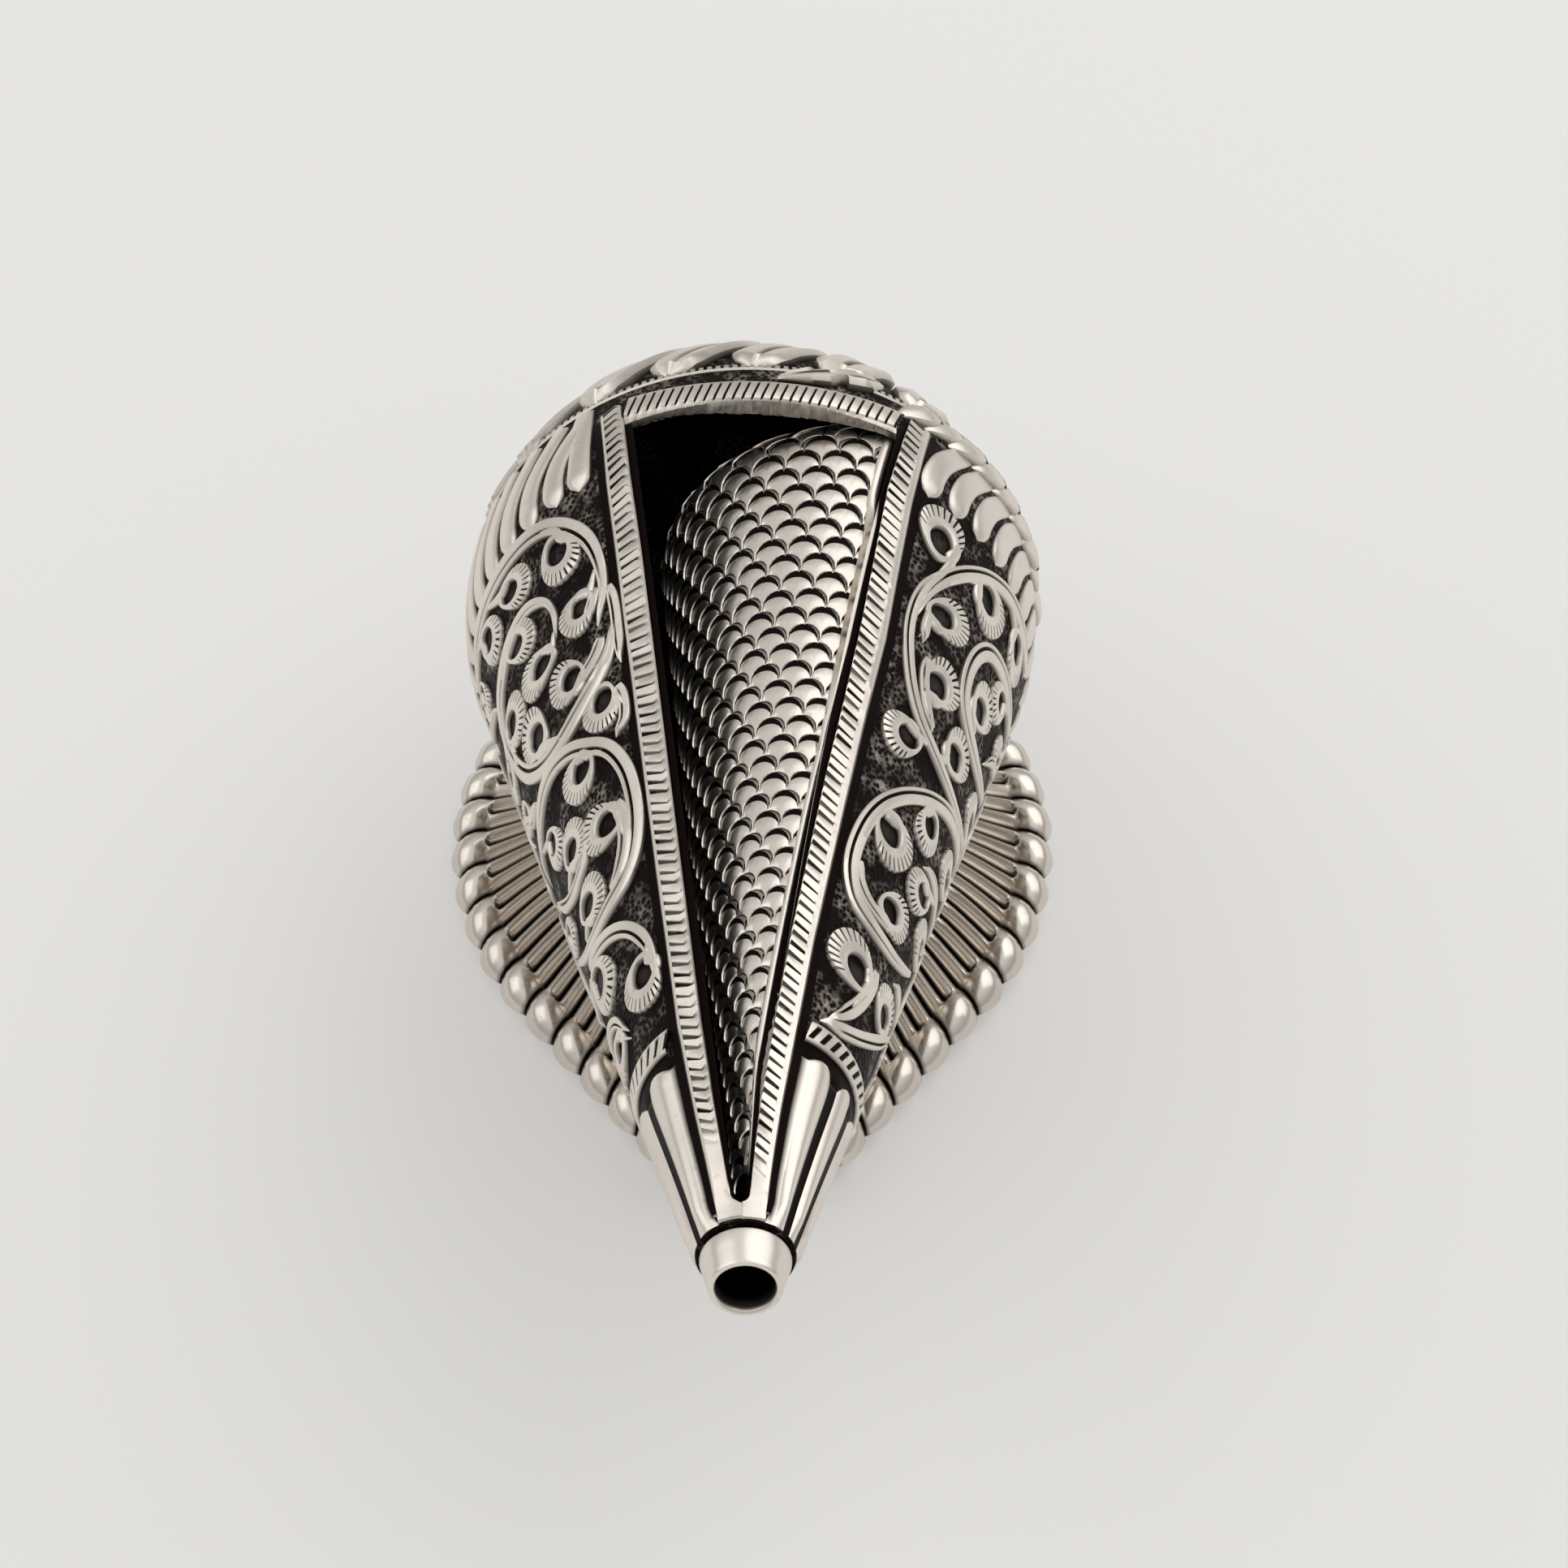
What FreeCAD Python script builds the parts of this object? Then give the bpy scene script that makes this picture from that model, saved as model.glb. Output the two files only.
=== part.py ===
"""Silver conch on its stand: a hollow pouring shell of chased sheet silver and the fluted cradle it rests on.

The shell is a ball that runs out into a long cone. Its axis lies along Y in its own frame, spout towards -Y,
mouth upwards, with the origin at the centre of the widest section. The shell is then tipped so that the spout
points up a little, and set down on the stand. Lengths are millimetres, angles are degrees.
"""
import FreeCAD
import Part
import Sketcher
import math
import os

from FreeCAD import Placement, Rotation, Vector

DIMENSIONS = [
    # The sheet and the shell's own form
    ("sheet", 0.9),
    ("belly_radius", 32.0),
    ("cone_angle", 15.3),
    ("spout_radius", 5.0),
    ("seam_back", 4.5),
    ("sleeve_length", 21.0),
    # The mouth, a long slit that narrows towards the spout
    ("mouth_top", 2.0),
    ("slit_margin", 2.2),
    ("mouth_left", 13.0),
    ("mouth_right", 16.3),
    ("mouth_bow", 1000.0),
    ("slit_left", 1.1),
    ("slit_right", 0.4),
    ("lip_width", 2.9),
    ("lip_height", 0.7),
    # The rolled inner whorl under the mouth
    ("roll_share", 0.53),
    ("roll_lean", 36.0),
    ("roll_gap", 0.15),
    ("roll_dome", 26.0),
    ("roll_short", 6.0),
    ("roll_open_from", 60.0),
    ("roll_open_to", 205.0),
    # The spout
    ("petal_count", 10.0),
    ("petal_groove", 0.45),
    ("collar_width", 2.8),
    ("collar_height", 0.5),
    ("ferrule_length", 4.5),
    ("ferrule_wall", 0.9),
    ("ferrule_step", 0.4),
    ("spigot_length", 2.0),
    ("spigot_gap", 0.06),
    # The spire behind the shoulder
    ("band_width", 1.1),
    ("band_height", 0.7),
    ("whorl_one_length", 15.5),
    ("whorl_two_length", 11.0),
    ("whorl_three_length", 9.0),
    ("whorl_one_radius", 21.3),
    ("whorl_two_radius", 11.5),
    ("whorl_three_radius", 4.6),
    ("whorl_one_swell", 24.0),
    ("whorl_two_swell", 19.0),
    ("whorl_three_swell", 15.0),
    ("whorl_step", 0.5),
    ("knob_radius", 2.2),
    ("knob_neck", 1.4),
    ("knob_disc", 0.8),
    # How the shell stands
    ("spout_tilt", 10.6),
    ("belly_clear", 10.0),
    ("shell_back", 30.8),
    # The stand: a teardrop foot with a row of gadroons, a foot rim below and a cradle ring above
    ("stand_lead", 0.3),
    ("stand_half_width", 34.6),
    ("stand_front", 52.2),
    ("stand_side_radius", 43.0),
    ("stand_end_radius", 12.0),
    ("gadroon_count", 48.0),
    ("gadroon_swell", 1.4),
    ("flange_height", 4.4),
    ("skirt_height", 9.4),
    ("skirt_sheet", 1.2),
    ("rim_height", 1.2),
    ("rim_width", 3.6),
    ("rim_inset", 1.6),
    ("seat_lead", 17.5),
    ("seat_half_width", 14.0),
    ("seat_front", 22.0),
    ("seat_side_radius", 17.0),
    ("seat_end_radius", 7.0),
    ("seat_wall", 1.6),
    ("seat_tuck", 3.0),
    ("seat_gap", 0.3),
]

doc = FreeCAD.newDocument("silver_conch")
sheet = doc.addObject("Spreadsheet::Sheet", "dims")
for row, (alias, value) in enumerate(DIMENSIONS, start=1):
    sheet.set(f"A{row}", alias)
    sheet.set(f"B{row}", str(value))
    sheet.setAlias(f"B{row}", alias)
doc.recompute()


def size(alias):
    """The value of one cell of the sheet."""
    return float(sheet.get(alias))


def value_of(expression):
    """The number that an expression on the sheet's cells gives."""
    found = sheet.evalExpression(expression)
    return float(getattr(found, "Value", found))


# Expressions for the shell's form: a ball and the cone tangent to it, at an offset from the outer skin

RADIUS = "dims.belly_radius"
ANGLE = "dims.cone_angle"
SLEEVE_TO = f"({RADIUS} / sin({ANGLE}) - dims.spout_radius / tan({ANGLE}))"
SLEEVE_FROM = f"({SLEEVE_TO} - dims.sleeve_length)"
MOUTH_END = f"({SLEEVE_TO} - dims.slit_margin)"
AXIS_HEIGHT = f"({RADIUS} + dims.belly_clear)"


def ball(offset):
    """Radius of the ball at an offset from the outer skin."""
    return f"({RADIUS} + ({offset}))"


def cone_radius(offset, reach):
    """Radius at a distance towards the spout, on the cone tangent to the ball of that offset."""
    return f"(({ball(offset)} / sin({ANGLE}) - ({reach})) * tan({ANGLE}))"


def ball_radius(offset, back):
    """Radius of the ball's section at a distance behind the widest one."""
    return f"sqrt({ball(offset)}^2 - ({back})^2)"


def tangent_point(offset):
    """Where the ball of that offset runs out into its cone."""
    return f"-{ball(offset)} * sin({ANGLE})", f"{ball(offset)} * cos({ANGLE})"


# Sketches and bodies


def new_body(label):
    body = doc.addObject("PartDesign::Body", label)
    body.Label = label
    return body


def new_sketch(body, name, role):
    plane = next(f for f in body.Origin.OriginFeatures if f.Role == role)
    sketch = body.newObject("Sketcher::SketchObject", name)
    sketch.AttachmentSupport = [(plane, "")]
    sketch.MapMode = "FlatFace"
    return sketch


def pin_point(sketch, geometry, end, x, y):
    """Holds one end of a piece of geometry at a place given by two expressions."""
    for kind, axis, expression in (("DistanceX", -2, x), ("DistanceY", -1, y)):
        if expression == "0":
            sketch.addConstraint(Sketcher.Constraint("PointOnObject", geometry, end, axis))
            continue
        index = sketch.addConstraint(
            Sketcher.Constraint(kind, -1, 1, geometry, end, value_of(expression))
        )
        sketch.setExpression(f"Constraints[{index}]", expression)


def arc_between(start, end, radius):
    """An arc from start to end that turns anticlockwise for a positive radius, else clockwise."""
    first, last = (start, end) if radius > 0 else (end, start)
    chord = last - first
    left = Vector(-chord.y, chord.x, 0).normalize()
    rise = math.sqrt(max(radius * radius - chord.Length ** 2 / 4, 0.0))
    centre = (first + last) * 0.5 + left * rise
    begin = math.atan2(first.y - centre.y, first.x - centre.x)
    finish = math.atan2(last.y - centre.y, last.x - centre.x)
    if finish < begin:
        finish += 2 * math.pi
    return Part.ArcOfCircle(Part.Circle(centre, Vector(0, 0, 1), abs(radius)), begin, finish)


def outline(sketch, points, arcs=None):
    """A closed outline through points given as expressions; arcs maps a side's number to its radius.

    A radius written with a leading minus turns clockwise.
    """
    arcs = arcs or {}
    places = [Vector(value_of(x), value_of(y), 0) for x, y in points]
    ends = []
    for side, start in enumerate(places):
        finish = places[(side + 1) % len(places)]
        if side not in arcs:
            index = sketch.addGeometry(Part.LineSegment(start, finish), False)
            ends.append((index, 1, 2))
            continue
        radius = value_of(arcs[side])
        index = sketch.addGeometry(arc_between(start, finish, radius), False)
        ends.append((index, 1, 2) if radius > 0 else (index, 2, 1))
    for side, (x, y) in enumerate(points):
        index, start, finish = ends[side]
        following = ends[(side + 1) % len(points)]
        sketch.addConstraint(Sketcher.Constraint("Coincident", index, finish, following[0], following[1]))
        pin_point(sketch, index, start, x, y)
    for side, expression in arcs.items():
        bare = expression.lstrip("-")
        held = sketch.addConstraint(Sketcher.Constraint("Radius", ends[side][0], value_of(bare)))
        sketch.setExpression(f"Constraints[{held}]", bare)


def revolve(body, points, arcs=None):
    """A ring turned about the shell's axis from an outline in (along Y, radius)."""
    sketch = new_sketch(body, f"{body.Label}_profile", "YZ_Plane")
    outline(sketch, points, arcs)
    turned = body.newObject("PartDesign::Revolution", f"{body.Label}_turned")
    turned.Profile = sketch
    turned.ReferenceAxis = (sketch, ["H_Axis"])
    turned.Angle = 360
    doc.recompute()
    return turned


def cut_upwards(body, points, arcs):
    """Cuts a plan outline out of the upper half of a body."""
    before = body.Shape.Volume
    sketch = new_sketch(body, f"{body.Label}_mouth", "XY_Plane")
    outline(sketch, points, arcs)
    pocket = body.newObject("PartDesign::Pocket", f"{body.Label}_opened")
    pocket.Profile = sketch
    pocket.Type = "ThroughAll"
    pocket.Reversed = True
    doc.recompute()
    if not body.Shape.Volume < before:
        raise RuntimeError(f"the cut in {body.Label} removed nothing")
    return pocket


def tip_shell(piece):
    """Sets a piece of the shell at its place on the stand, spout tipped up."""
    piece.Placement = Placement(
        Vector(0, size("shell_back"), value_of(AXIS_HEIGHT)), Rotation(Vector(-1, 0, 0), size("spout_tilt"))
    )
    piece.setExpression("Placement.Base.y", "dims.shell_back")
    piece.setExpression("Placement.Base.z", AXIS_HEIGHT)
    piece.setExpression("Placement.Rotation.Angle", "dims.spout_tilt")
    return piece


# Plan outlines of the mouth and of the strips round it, as (x, y) expressions, with the sides that bow

MOUTH = [
    ("-dims.mouth_left", "-dims.mouth_top"),
    ("-dims.slit_left", f"-{MOUTH_END}"),
    ("dims.slit_right", f"-{MOUTH_END}"),
    ("dims.mouth_right", "-dims.mouth_top"),
]
BORDER = [
    ("-dims.mouth_left - dims.lip_width", "-dims.mouth_top + dims.lip_width"),
    ("-dims.mouth_left - dims.lip_width", "-dims.mouth_top"),
    ("-dims.slit_left - dims.lip_width", f"-{MOUTH_END}"),
    ("dims.slit_right + dims.lip_width", f"-{MOUTH_END}"),
    ("dims.mouth_right + dims.lip_width", "-dims.mouth_top"),
    ("dims.mouth_right + dims.lip_width", "-dims.mouth_top + dims.lip_width"),
]
BOW_DOWN, BOW_UP = "dims.mouth_bow", "-dims.mouth_bow"
MOUTH_BOWS = {2: BOW_UP}
BORDER_BOWS = {3: BOW_UP}
LIPS = {
    "lip_left": ([BORDER[1], BORDER[2], MOUTH[1], MOUTH[0]], {}),
    "lip_right": ([MOUTH[3], MOUTH[2], BORDER[3], BORDER[4]], {0: BOW_DOWN, 2: BOW_UP}),
    "lip_top": ([BORDER[0], BORDER[1], BORDER[4], BORDER[5]], {}),
}


def shell_wall():
    """The raised wall of the shell, from the shoulder seam to the spout sleeve, open along the mouth."""
    body = new_body("shell_wall")
    inside = "-dims.sheet"
    points = [
        ("dims.seam_back", ball_radius("0", "dims.seam_back")),
        tangent_point("0"),
        (f"-{SLEEVE_FROM}", cone_radius("0", SLEEVE_FROM)),
        (f"-{SLEEVE_FROM}", cone_radius(inside, SLEEVE_FROM)),
        tangent_point(inside),
        ("dims.seam_back", ball_radius(inside, "dims.seam_back")),
    ]
    revolve(body, points, {0: ball("0"), 4: f"-{ball(inside)}"})
    cut_upwards(body, MOUTH, MOUTH_BOWS)
    return tip_shell(body)


def spout_sleeve():
    """The cone in front of the collar, with petals parted by grooves along its length."""
    body = new_body("spout_sleeve_blank")
    inside = "-dims.sheet"
    points = [
        (f"-{SLEEVE_FROM}", cone_radius("0", SLEEVE_FROM)),
        (f"-{SLEEVE_TO}", cone_radius("0", SLEEVE_TO)),
        (f"-{SLEEVE_TO}", cone_radius(inside, SLEEVE_TO)),
        (f"-{SLEEVE_FROM}", cone_radius(inside, SLEEVE_FROM)),
    ]
    revolve(body, points)
    cut_upwards(body, MOUTH, MOUTH_BOWS)
    start = Vector(0, -value_of(SLEEVE_FROM), value_of(cone_radius("0", SLEEVE_FROM)))
    finish = Vector(0, -value_of(SLEEVE_TO), value_of(cone_radius("0", SLEEVE_TO)))
    groove = Part.makeCylinder(size("petal_groove"), (finish - start).Length, start, finish - start)
    right_edge = math.degrees(
        math.atan2(size("slit_right") + size("lip_width"), value_of(cone_radius("0", MOUTH_END)))
    )
    left_edge = math.degrees(
        math.atan2(size("slit_left") + size("lip_width"), value_of(cone_radius("0", MOUTH_END)))
    )
    count = int(size("petal_count"))
    pitch = (360 - right_edge - left_edge) / count
    tool = doc.addObject("Part::Feature", "petal_grooves")
    tool.Shape = Part.makeCompound(
        [
            groove.rotated(Vector(), Vector(0, 1, 0), right_edge + pitch * number)
            for number in range(count + 1)
        ]
    )
    sleeve = doc.addObject("Part::Cut", "spout_sleeve")
    sleeve.Base = body
    sleeve.Tool = tool
    return tip_shell(sleeve)


def spout_collar():
    """The hatched band over the seam between wall and sleeve, parted by the strips of the mouth."""
    body = new_body("spout_collar")
    behind = f"({SLEEVE_FROM} - dims.collar_width / 2)"
    ahead = f"({SLEEVE_FROM} + dims.collar_width / 2)"
    points = [
        (f"-{behind}", cone_radius("dims.collar_height", behind)),
        (f"-{ahead}", cone_radius("dims.collar_height", ahead)),
        (f"-{ahead}", cone_radius("0", ahead)),
        (f"-{behind}", cone_radius("0", behind)),
    ]
    revolve(body, points)
    cut_upwards(body, BORDER, BORDER_BOWS)
    return tip_shell(body)


def spout_ferrule():
    """The plain tube at the tip: a shoulder against the sleeve and a short spigot inside it."""
    body = new_body("spout_ferrule")
    spigot = f"({cone_radius('-dims.sheet', SLEEVE_TO)} - dims.spigot_gap)"
    bore = f"({spigot} - dims.ferrule_wall)"
    back = f"-{SLEEVE_TO} + dims.spigot_length"
    seat = f"-{SLEEVE_TO}"
    end = f"-{SLEEVE_TO} - dims.ferrule_length"
    points = [
        (back, spigot),
        (seat, spigot),
        (seat, "dims.spout_radius - dims.ferrule_step"),
        (end, f"{bore} + dims.ferrule_wall"),
        (end, bore),
        (back, bore),
    ]
    revolve(body, points)
    return tip_shell(body)


def mouth_lip(label, points, arcs):
    """One strip of the mouth's border, lying on the shell's skin."""
    skin = new_body(f"{label}_skin")
    back, reach = "dims.seam_back", MOUTH_END
    raised = "dims.lip_height"
    profile = [
        (back, ball_radius(raised, back)),
        tangent_point(raised),
        (f"-{reach}", cone_radius(raised, reach)),
        (f"-{reach}", cone_radius("0", reach)),
        tangent_point("0"),
        (back, ball_radius("0", back)),
    ]
    revolve(skin, profile, {0: ball(raised), 4: f"-{ball('0')}"})
    plan = doc.addObject("Sketcher::SketchObject", f"{label}_plan")
    outline(plan, points, arcs)
    prism = doc.addObject("Part::Extrusion", f"{label}_prism")
    prism.Base = plan
    prism.DirMode = "Normal"
    prism.Solid = True
    prism.setExpression("LengthFwd", f"2 * {RADIUS}")
    strip = doc.addObject("Part::Common", label)
    strip.Base = skin
    strip.Tool = prism
    return tip_shell(strip)


def columella():
    """The rolled inner whorl: a tapered roll of sheet inside the right wall, open underneath."""
    lean, angle = math.radians(size("roll_lean")), math.radians(size("cone_angle"))
    share, thick = size("roll_share"), size("sheet")
    room = size("belly_radius") - thick - size("roll_gap")
    shoulder, dome = room * math.sin(angle), size("roll_dome")

    def bore(reach):
        """Radius of the room for the roll at a distance towards the spout; it closes in a dome behind."""
        if reach < shoulder:
            return room * math.cos(angle) * math.sqrt(1 - ((shoulder - reach) / dome) ** 2)
        return (room / math.sin(angle) - reach) * math.tan(angle)

    def centre(reach):
        out = (1 - share) * bore(reach)
        return Vector(out * math.sin(lean), -reach, out * math.cos(lean))

    def ring(reach, thinner):
        return Part.Wire(Part.Circle(centre(reach), Vector(0, 1, 0), share * bore(reach) - thinner).toShape())

    def open_side(reach):
        """The part of the section that the roll leaves open, as a fan about the roll's centre."""
        first, last = size("roll_open_from"), size("roll_open_to")
        middle, far = centre(reach), 2 * share * bore(reach)
        turns = [math.radians(turn) for turn in (first, (first + last) / 2, last)]
        fan = [middle + Vector(math.sin(turn), 0, math.cos(turn)) * far for turn in turns]
        return Part.makePolygon([middle, *fan, middle])

    dome_shares = [0.94, 0.8, 0.55, 0.3]
    stations = [shoulder - dome * share_back for share_back in dome_shares]
    stations += [shoulder, value_of(MOUTH_END) - size("roll_short")]
    roll, hollow = (Part.makeLoft([ring(s, thinner) for s in stations], True, True) for thinner in (0, thick))
    gap = Part.makeLoft([open_side(s) for s in stations], True, True)
    piece = doc.addObject("Part::Feature", "columella")
    piece.Shape = roll.cut(hollow).cut(gap)
    return tip_shell(piece)


def shoulder_band():
    """The milled band in the step between the wall and the spire."""
    body = new_body("shoulder_band")
    foot = f"({ball_radius('0', 'dims.seam_back')} - dims.whorl_step)"
    points = [
        ("dims.seam_back", f"{foot} + dims.band_height"),
        ("dims.seam_back", foot),
        ("dims.seam_back + dims.band_width", foot),
        ("dims.seam_back + dims.band_width", f"{foot} + dims.band_height / 2"),
    ]
    revolve(body, points)
    return tip_shell(body)


def spire():
    """The whorls behind the shoulder, each a step inside the last and thicker where the next one seats."""
    made = []
    start, before = "dims.seam_back", ball_radius("0", "dims.seam_back")
    for number, word in enumerate(("one", "two", "three"), start=1):
        body = new_body(f"spire_whorl_{number}")
        end = f"({start} + dims.whorl_{word}_length)"
        radius, swell = f"dims.whorl_{word}_radius", f"dims.whorl_{word}_swell"
        points = [
            (end, radius),
            (start, f"{before} - dims.whorl_step"),
            (start, f"{before} - dims.whorl_step - dims.sheet"),
            (end, f"{radius} - dims.whorl_step - dims.sheet"),
        ]
        revolve(body, points, {0: swell, 2: f"-{swell}"})
        made.append(tip_shell(body))
        start, before = end, radius
    return made


def spire_knob():
    """The ball finial that closes the apex."""
    body = new_body("spire_knob")
    foot = "dims.seam_back + dims.whorl_one_length + dims.whorl_two_length + dims.whorl_three_length"
    top = f"{foot} + dims.knob_disc"
    neck = f"{top} + dims.knob_disc"
    reach = f"{neck} + dims.knob_radius + sqrt(dims.knob_radius^2 - dims.knob_neck^2)"
    points = [
        (foot, "0"),
        (reach, "0"),
        (neck, "dims.knob_neck"),
        (top, "dims.whorl_three_radius"),
        (foot, "dims.whorl_three_radius"),
    ]
    revolve(body, points, {1: "dims.knob_radius"})
    return tip_shell(body)


# The stand


class Teardrop:
    """A plan outline: a round back, flatter sides, straight flanks and a small round nose towards -Y."""

    def __init__(self, half_width, front, side_radius, end_radius, lead):
        self.sizes = [half_width, front, side_radius, end_radius, lead]
        back = Vector(0, -lead, 0)
        side = back + Vector(half_width - side_radius, 0, 0)
        nose = back + Vector(0, end_radius - front, 0)
        run = nose - side
        lean = math.atan2(run.y, run.x) + math.acos((side_radius - end_radius) / run.Length)
        quarter = math.pi / 2
        self.pieces = [
            (side, side_radius, 0.0, lean),
            (side + self.spoke(side_radius, lean), nose + self.spoke(end_radius, lean)),
            (nose, end_radius, lean, -quarter),
        ]
        self.back = (back, half_width, quarter, 0.0)

    @staticmethod
    def spoke(radius, angle):
        return Vector(radius * math.cos(angle), radius * math.sin(angle), 0)

    def right_side(self):
        """The pieces of the right half, from the middle of the back round to the nose."""
        return [self.back, *self.pieces]

    @staticmethod
    def length(piece):
        if len(piece) == 2:
            return (piece[1] - piece[0]).Length
        return piece[1] * abs(piece[3] - piece[2])

    def at(self, piece, share):
        """The place on a piece and the way out of the outline there."""
        if len(piece) == 2:
            along = piece[1] - piece[0]
            return piece[0] + along * share, Vector(-along.y, along.x, 0).normalize()
        angle = piece[2] + (piece[3] - piece[2]) * share
        return piece[0] + self.spoke(piece[1], angle), self.spoke(1, angle)

    def edges(self, height):
        """The whole outline as edges at a height."""
        made = []
        for mirror in (1, -1):
            for piece in self.right_side():
                spots = [self.at(piece, share)[0] for share in (0, 0.5, 1)]
                spots = [Vector(p.x * mirror, p.y, height) for p in spots]
                made.append(Part.LineSegment(spots[0], spots[2]) if len(piece) == 2 else Part.Arc(*spots))
        return Part.Wire(Part.__sortEdges__([edge.toShape() for edge in made]))


def stand_outline(name, inset=0.0):
    """The outline of the stand or of its seat, drawn in by an inset."""
    parts = ("half_width", "front", "side_radius", "end_radius")
    sizes = [size(f"{name}_{part}") - inset for part in parts]
    return Teardrop(*sizes, size("seat_lead") if name == "seat" else 0.0)


def slab(outer, inner, low, high):
    """An upright ring between two outlines."""
    walls = [Part.Face(edge.edges(low)).extrude(Vector(0, 0, high - low)) for edge in (outer, inner)]
    return walls[0].cut(walls[1])


def set_on_stand(piece):
    """Sets a piece of the stand at its place under the shell."""
    piece.Placement = Placement(Vector(0, size("shell_back") - size("stand_lead"), 0), Rotation())
    piece.setExpression("Placement.Base.y", "dims.shell_back - dims.stand_lead")
    return piece


def belly_clearance():
    """The room that the stand leaves for the shell."""
    clear = "dims.seat_gap"
    belly = new_body("belly_clearance")
    points = [
        (ball(clear), "0"),
        tangent_point(clear),
        (f"-{SLEEVE_FROM}", cone_radius(clear, SLEEVE_FROM)),
        (f"-{SLEEVE_FROM}", "0"),
    ]
    revolve(belly, points, {0: ball(clear)})
    return tip_shell(belly)


def clear_of_belly(label, blank, belly):
    """A piece of the stand with the shell's room taken out of it."""
    piece = doc.addObject("Part::Cut", label)
    piece.Base = blank
    piece.Tool = belly
    return piece


def stand_base_ring():
    """The flat rim under the skirt, on which the whole thing stands."""
    ring = doc.addObject("Part::Feature", "stand_base_ring")
    inset = size("rim_inset")
    ring.Shape = slab(
        stand_outline("stand", inset), stand_outline("stand", inset + size("rim_width")), 0, size("rim_height")
    )
    return set_on_stand(ring)


def stand_skirt(belly):
    """The flared foot with its row of gadroons, hollow underneath."""
    rim, seat = stand_outline("stand"), stand_outline("seat")
    swell, flange, top = size("gadroon_swell"), size("flange_height"), size("skirt_height")
    low, half = size("rim_height"), int(size("gadroon_count")) // 2
    pieces = list(zip(rim.right_side(), seat.right_side()))
    lengths = [rim.length(piece) for piece, _ in pieces]

    def spot(number, share_in):
        """A place between rim and seat, and the way out, at a count of half gadroons from the back."""
        left = number > 2 * half
        along = (4 * half - number if left else number) / (2 * half) * sum(lengths)
        for (outer, inner), length in zip(pieces, lengths):
            if along <= length + 1e-9:
                break
            along -= length
        (a, way), (b, _) = rim.at(outer, along / length), seat.at(inner, along / length)
        place = a + (b - a) * share_in
        flip = -1 if left else 1
        return Vector(place.x * flip, place.y, 0), Vector(way.x * flip, way.y, 0)

    def section(share_in, height, out, rise):
        """One scalloped line round the foot: valleys on the sheet, crests pushed out and up."""
        edges = []
        for gadroon in range(2 * half):
            marks = [spot((2 * gadroon + step) % (4 * half), share_in) for step in (0, 1, 2)]
            ends = [Vector(p.x, p.y, height) for p, _ in (marks[0], marks[2])]
            crest = marks[1][0] + marks[1][1] * out + Vector(0, 0, height + rise)
            edges.append(Part.Arc(ends[0], crest, ends[1]).toShape())
        return Part.Wire(edges)

    bulb, climb = flange - low, top - flange
    sections = [
        section(0.05, low, 0.45 * swell, 0.0),
        section(0.00, low + 0.40 * bulb, swell, 0.05 * swell),
        section(0.02, low + 0.80 * bulb, 0.8 * swell, 0.45 * swell),
        section(0.12, flange, 0.1 * swell, swell),
        section(0.28, flange, 0.0, 0.6 * swell),
        section(0.60, flange + 0.28 * climb, 0.2 * swell, 0.5 * swell),
        section(1.00, top, 0.3 * swell, 0.0),
    ]
    solid = Part.makeLoft(sections, True, True)

    def plain(share_in, height):
        """A smooth line round the inside of the foot."""
        return Teardrop(*(a + (b - a) * share_in for a, b in zip(rim.sizes, seat.sizes))).edges(height)

    under = size("skirt_sheet")
    hollow = Part.makeLoft(
        [
            plain(0.15, low),
            plain(0.20, flange - under),
            plain(0.60, flange + 0.25 * (top - flange) - under),
            plain(0.90, top - under),
        ],
        True,
        True,
    )
    through = Part.Face(seat.edges(0)).extrude(Vector(0, 0, 2 * top))
    blank = doc.addObject("Part::Feature", "stand_skirt_blank")
    blank.Shape = solid.cut(hollow).cut(through)
    return clear_of_belly("stand_skirt", set_on_stand(blank), belly)


def stand_seat(belly):
    """The cradle ring, its upper edge fitted to the shell's belly with a little clearance."""
    blank = doc.addObject("Part::Feature", "stand_seat_blank")
    foot = size("skirt_height") - size("seat_tuck")
    inner = stand_outline("seat", size("seat_wall"))
    blank.Shape = slab(stand_outline("seat"), inner, foot, value_of(AXIS_HEIGHT))
    return clear_of_belly("stand_seat", set_on_stand(blank), belly)


def build():
    pieces = [shell_wall(), spout_sleeve(), spout_collar(), spout_ferrule()]
    pieces += [mouth_lip(label, points, arcs) for label, (points, arcs) in LIPS.items()]
    pieces += [columella(), shoulder_band(), *spire(), spire_knob()]
    belly = belly_clearance()
    pieces += [stand_base_ring(), stand_skirt(belly), stand_seat(belly)]
    doc.recompute()
    return pieces


def check(pieces):
    """Stops if anything failed to build."""
    for thing in doc.Objects:
        if "Invalid" in thing.State or "Error" in thing.State:
            raise RuntimeError(f"{thing.Label} did not build: {thing.State}")
    for piece in pieces:
        if piece.Shape.isNull() or not piece.Shape.isValid() or piece.Shape.Volume <= 0:
            raise RuntimeError(f"{piece.Label} is not a sound solid")


def export(pieces):
    os.makedirs("parts", exist_ok=True)
    for piece in pieces:
        piece.Shape.exportStep(os.path.join("parts", f"{piece.Label}.step"))
        box = piece.Shape.BoundBox
        print(
            f"{piece.Label}: {len(piece.Shape.Solids)} solid, {piece.Shape.Volume:.1f} mm3,",
            f"x {box.XMin:.1f} to {box.XMax:.1f}, y {box.YMin:.1f} to {box.YMax:.1f},",
            f"z {box.ZMin:.1f} to {box.ZMax:.1f}",
        )


made = build()
check(made)
export(made)
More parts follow.
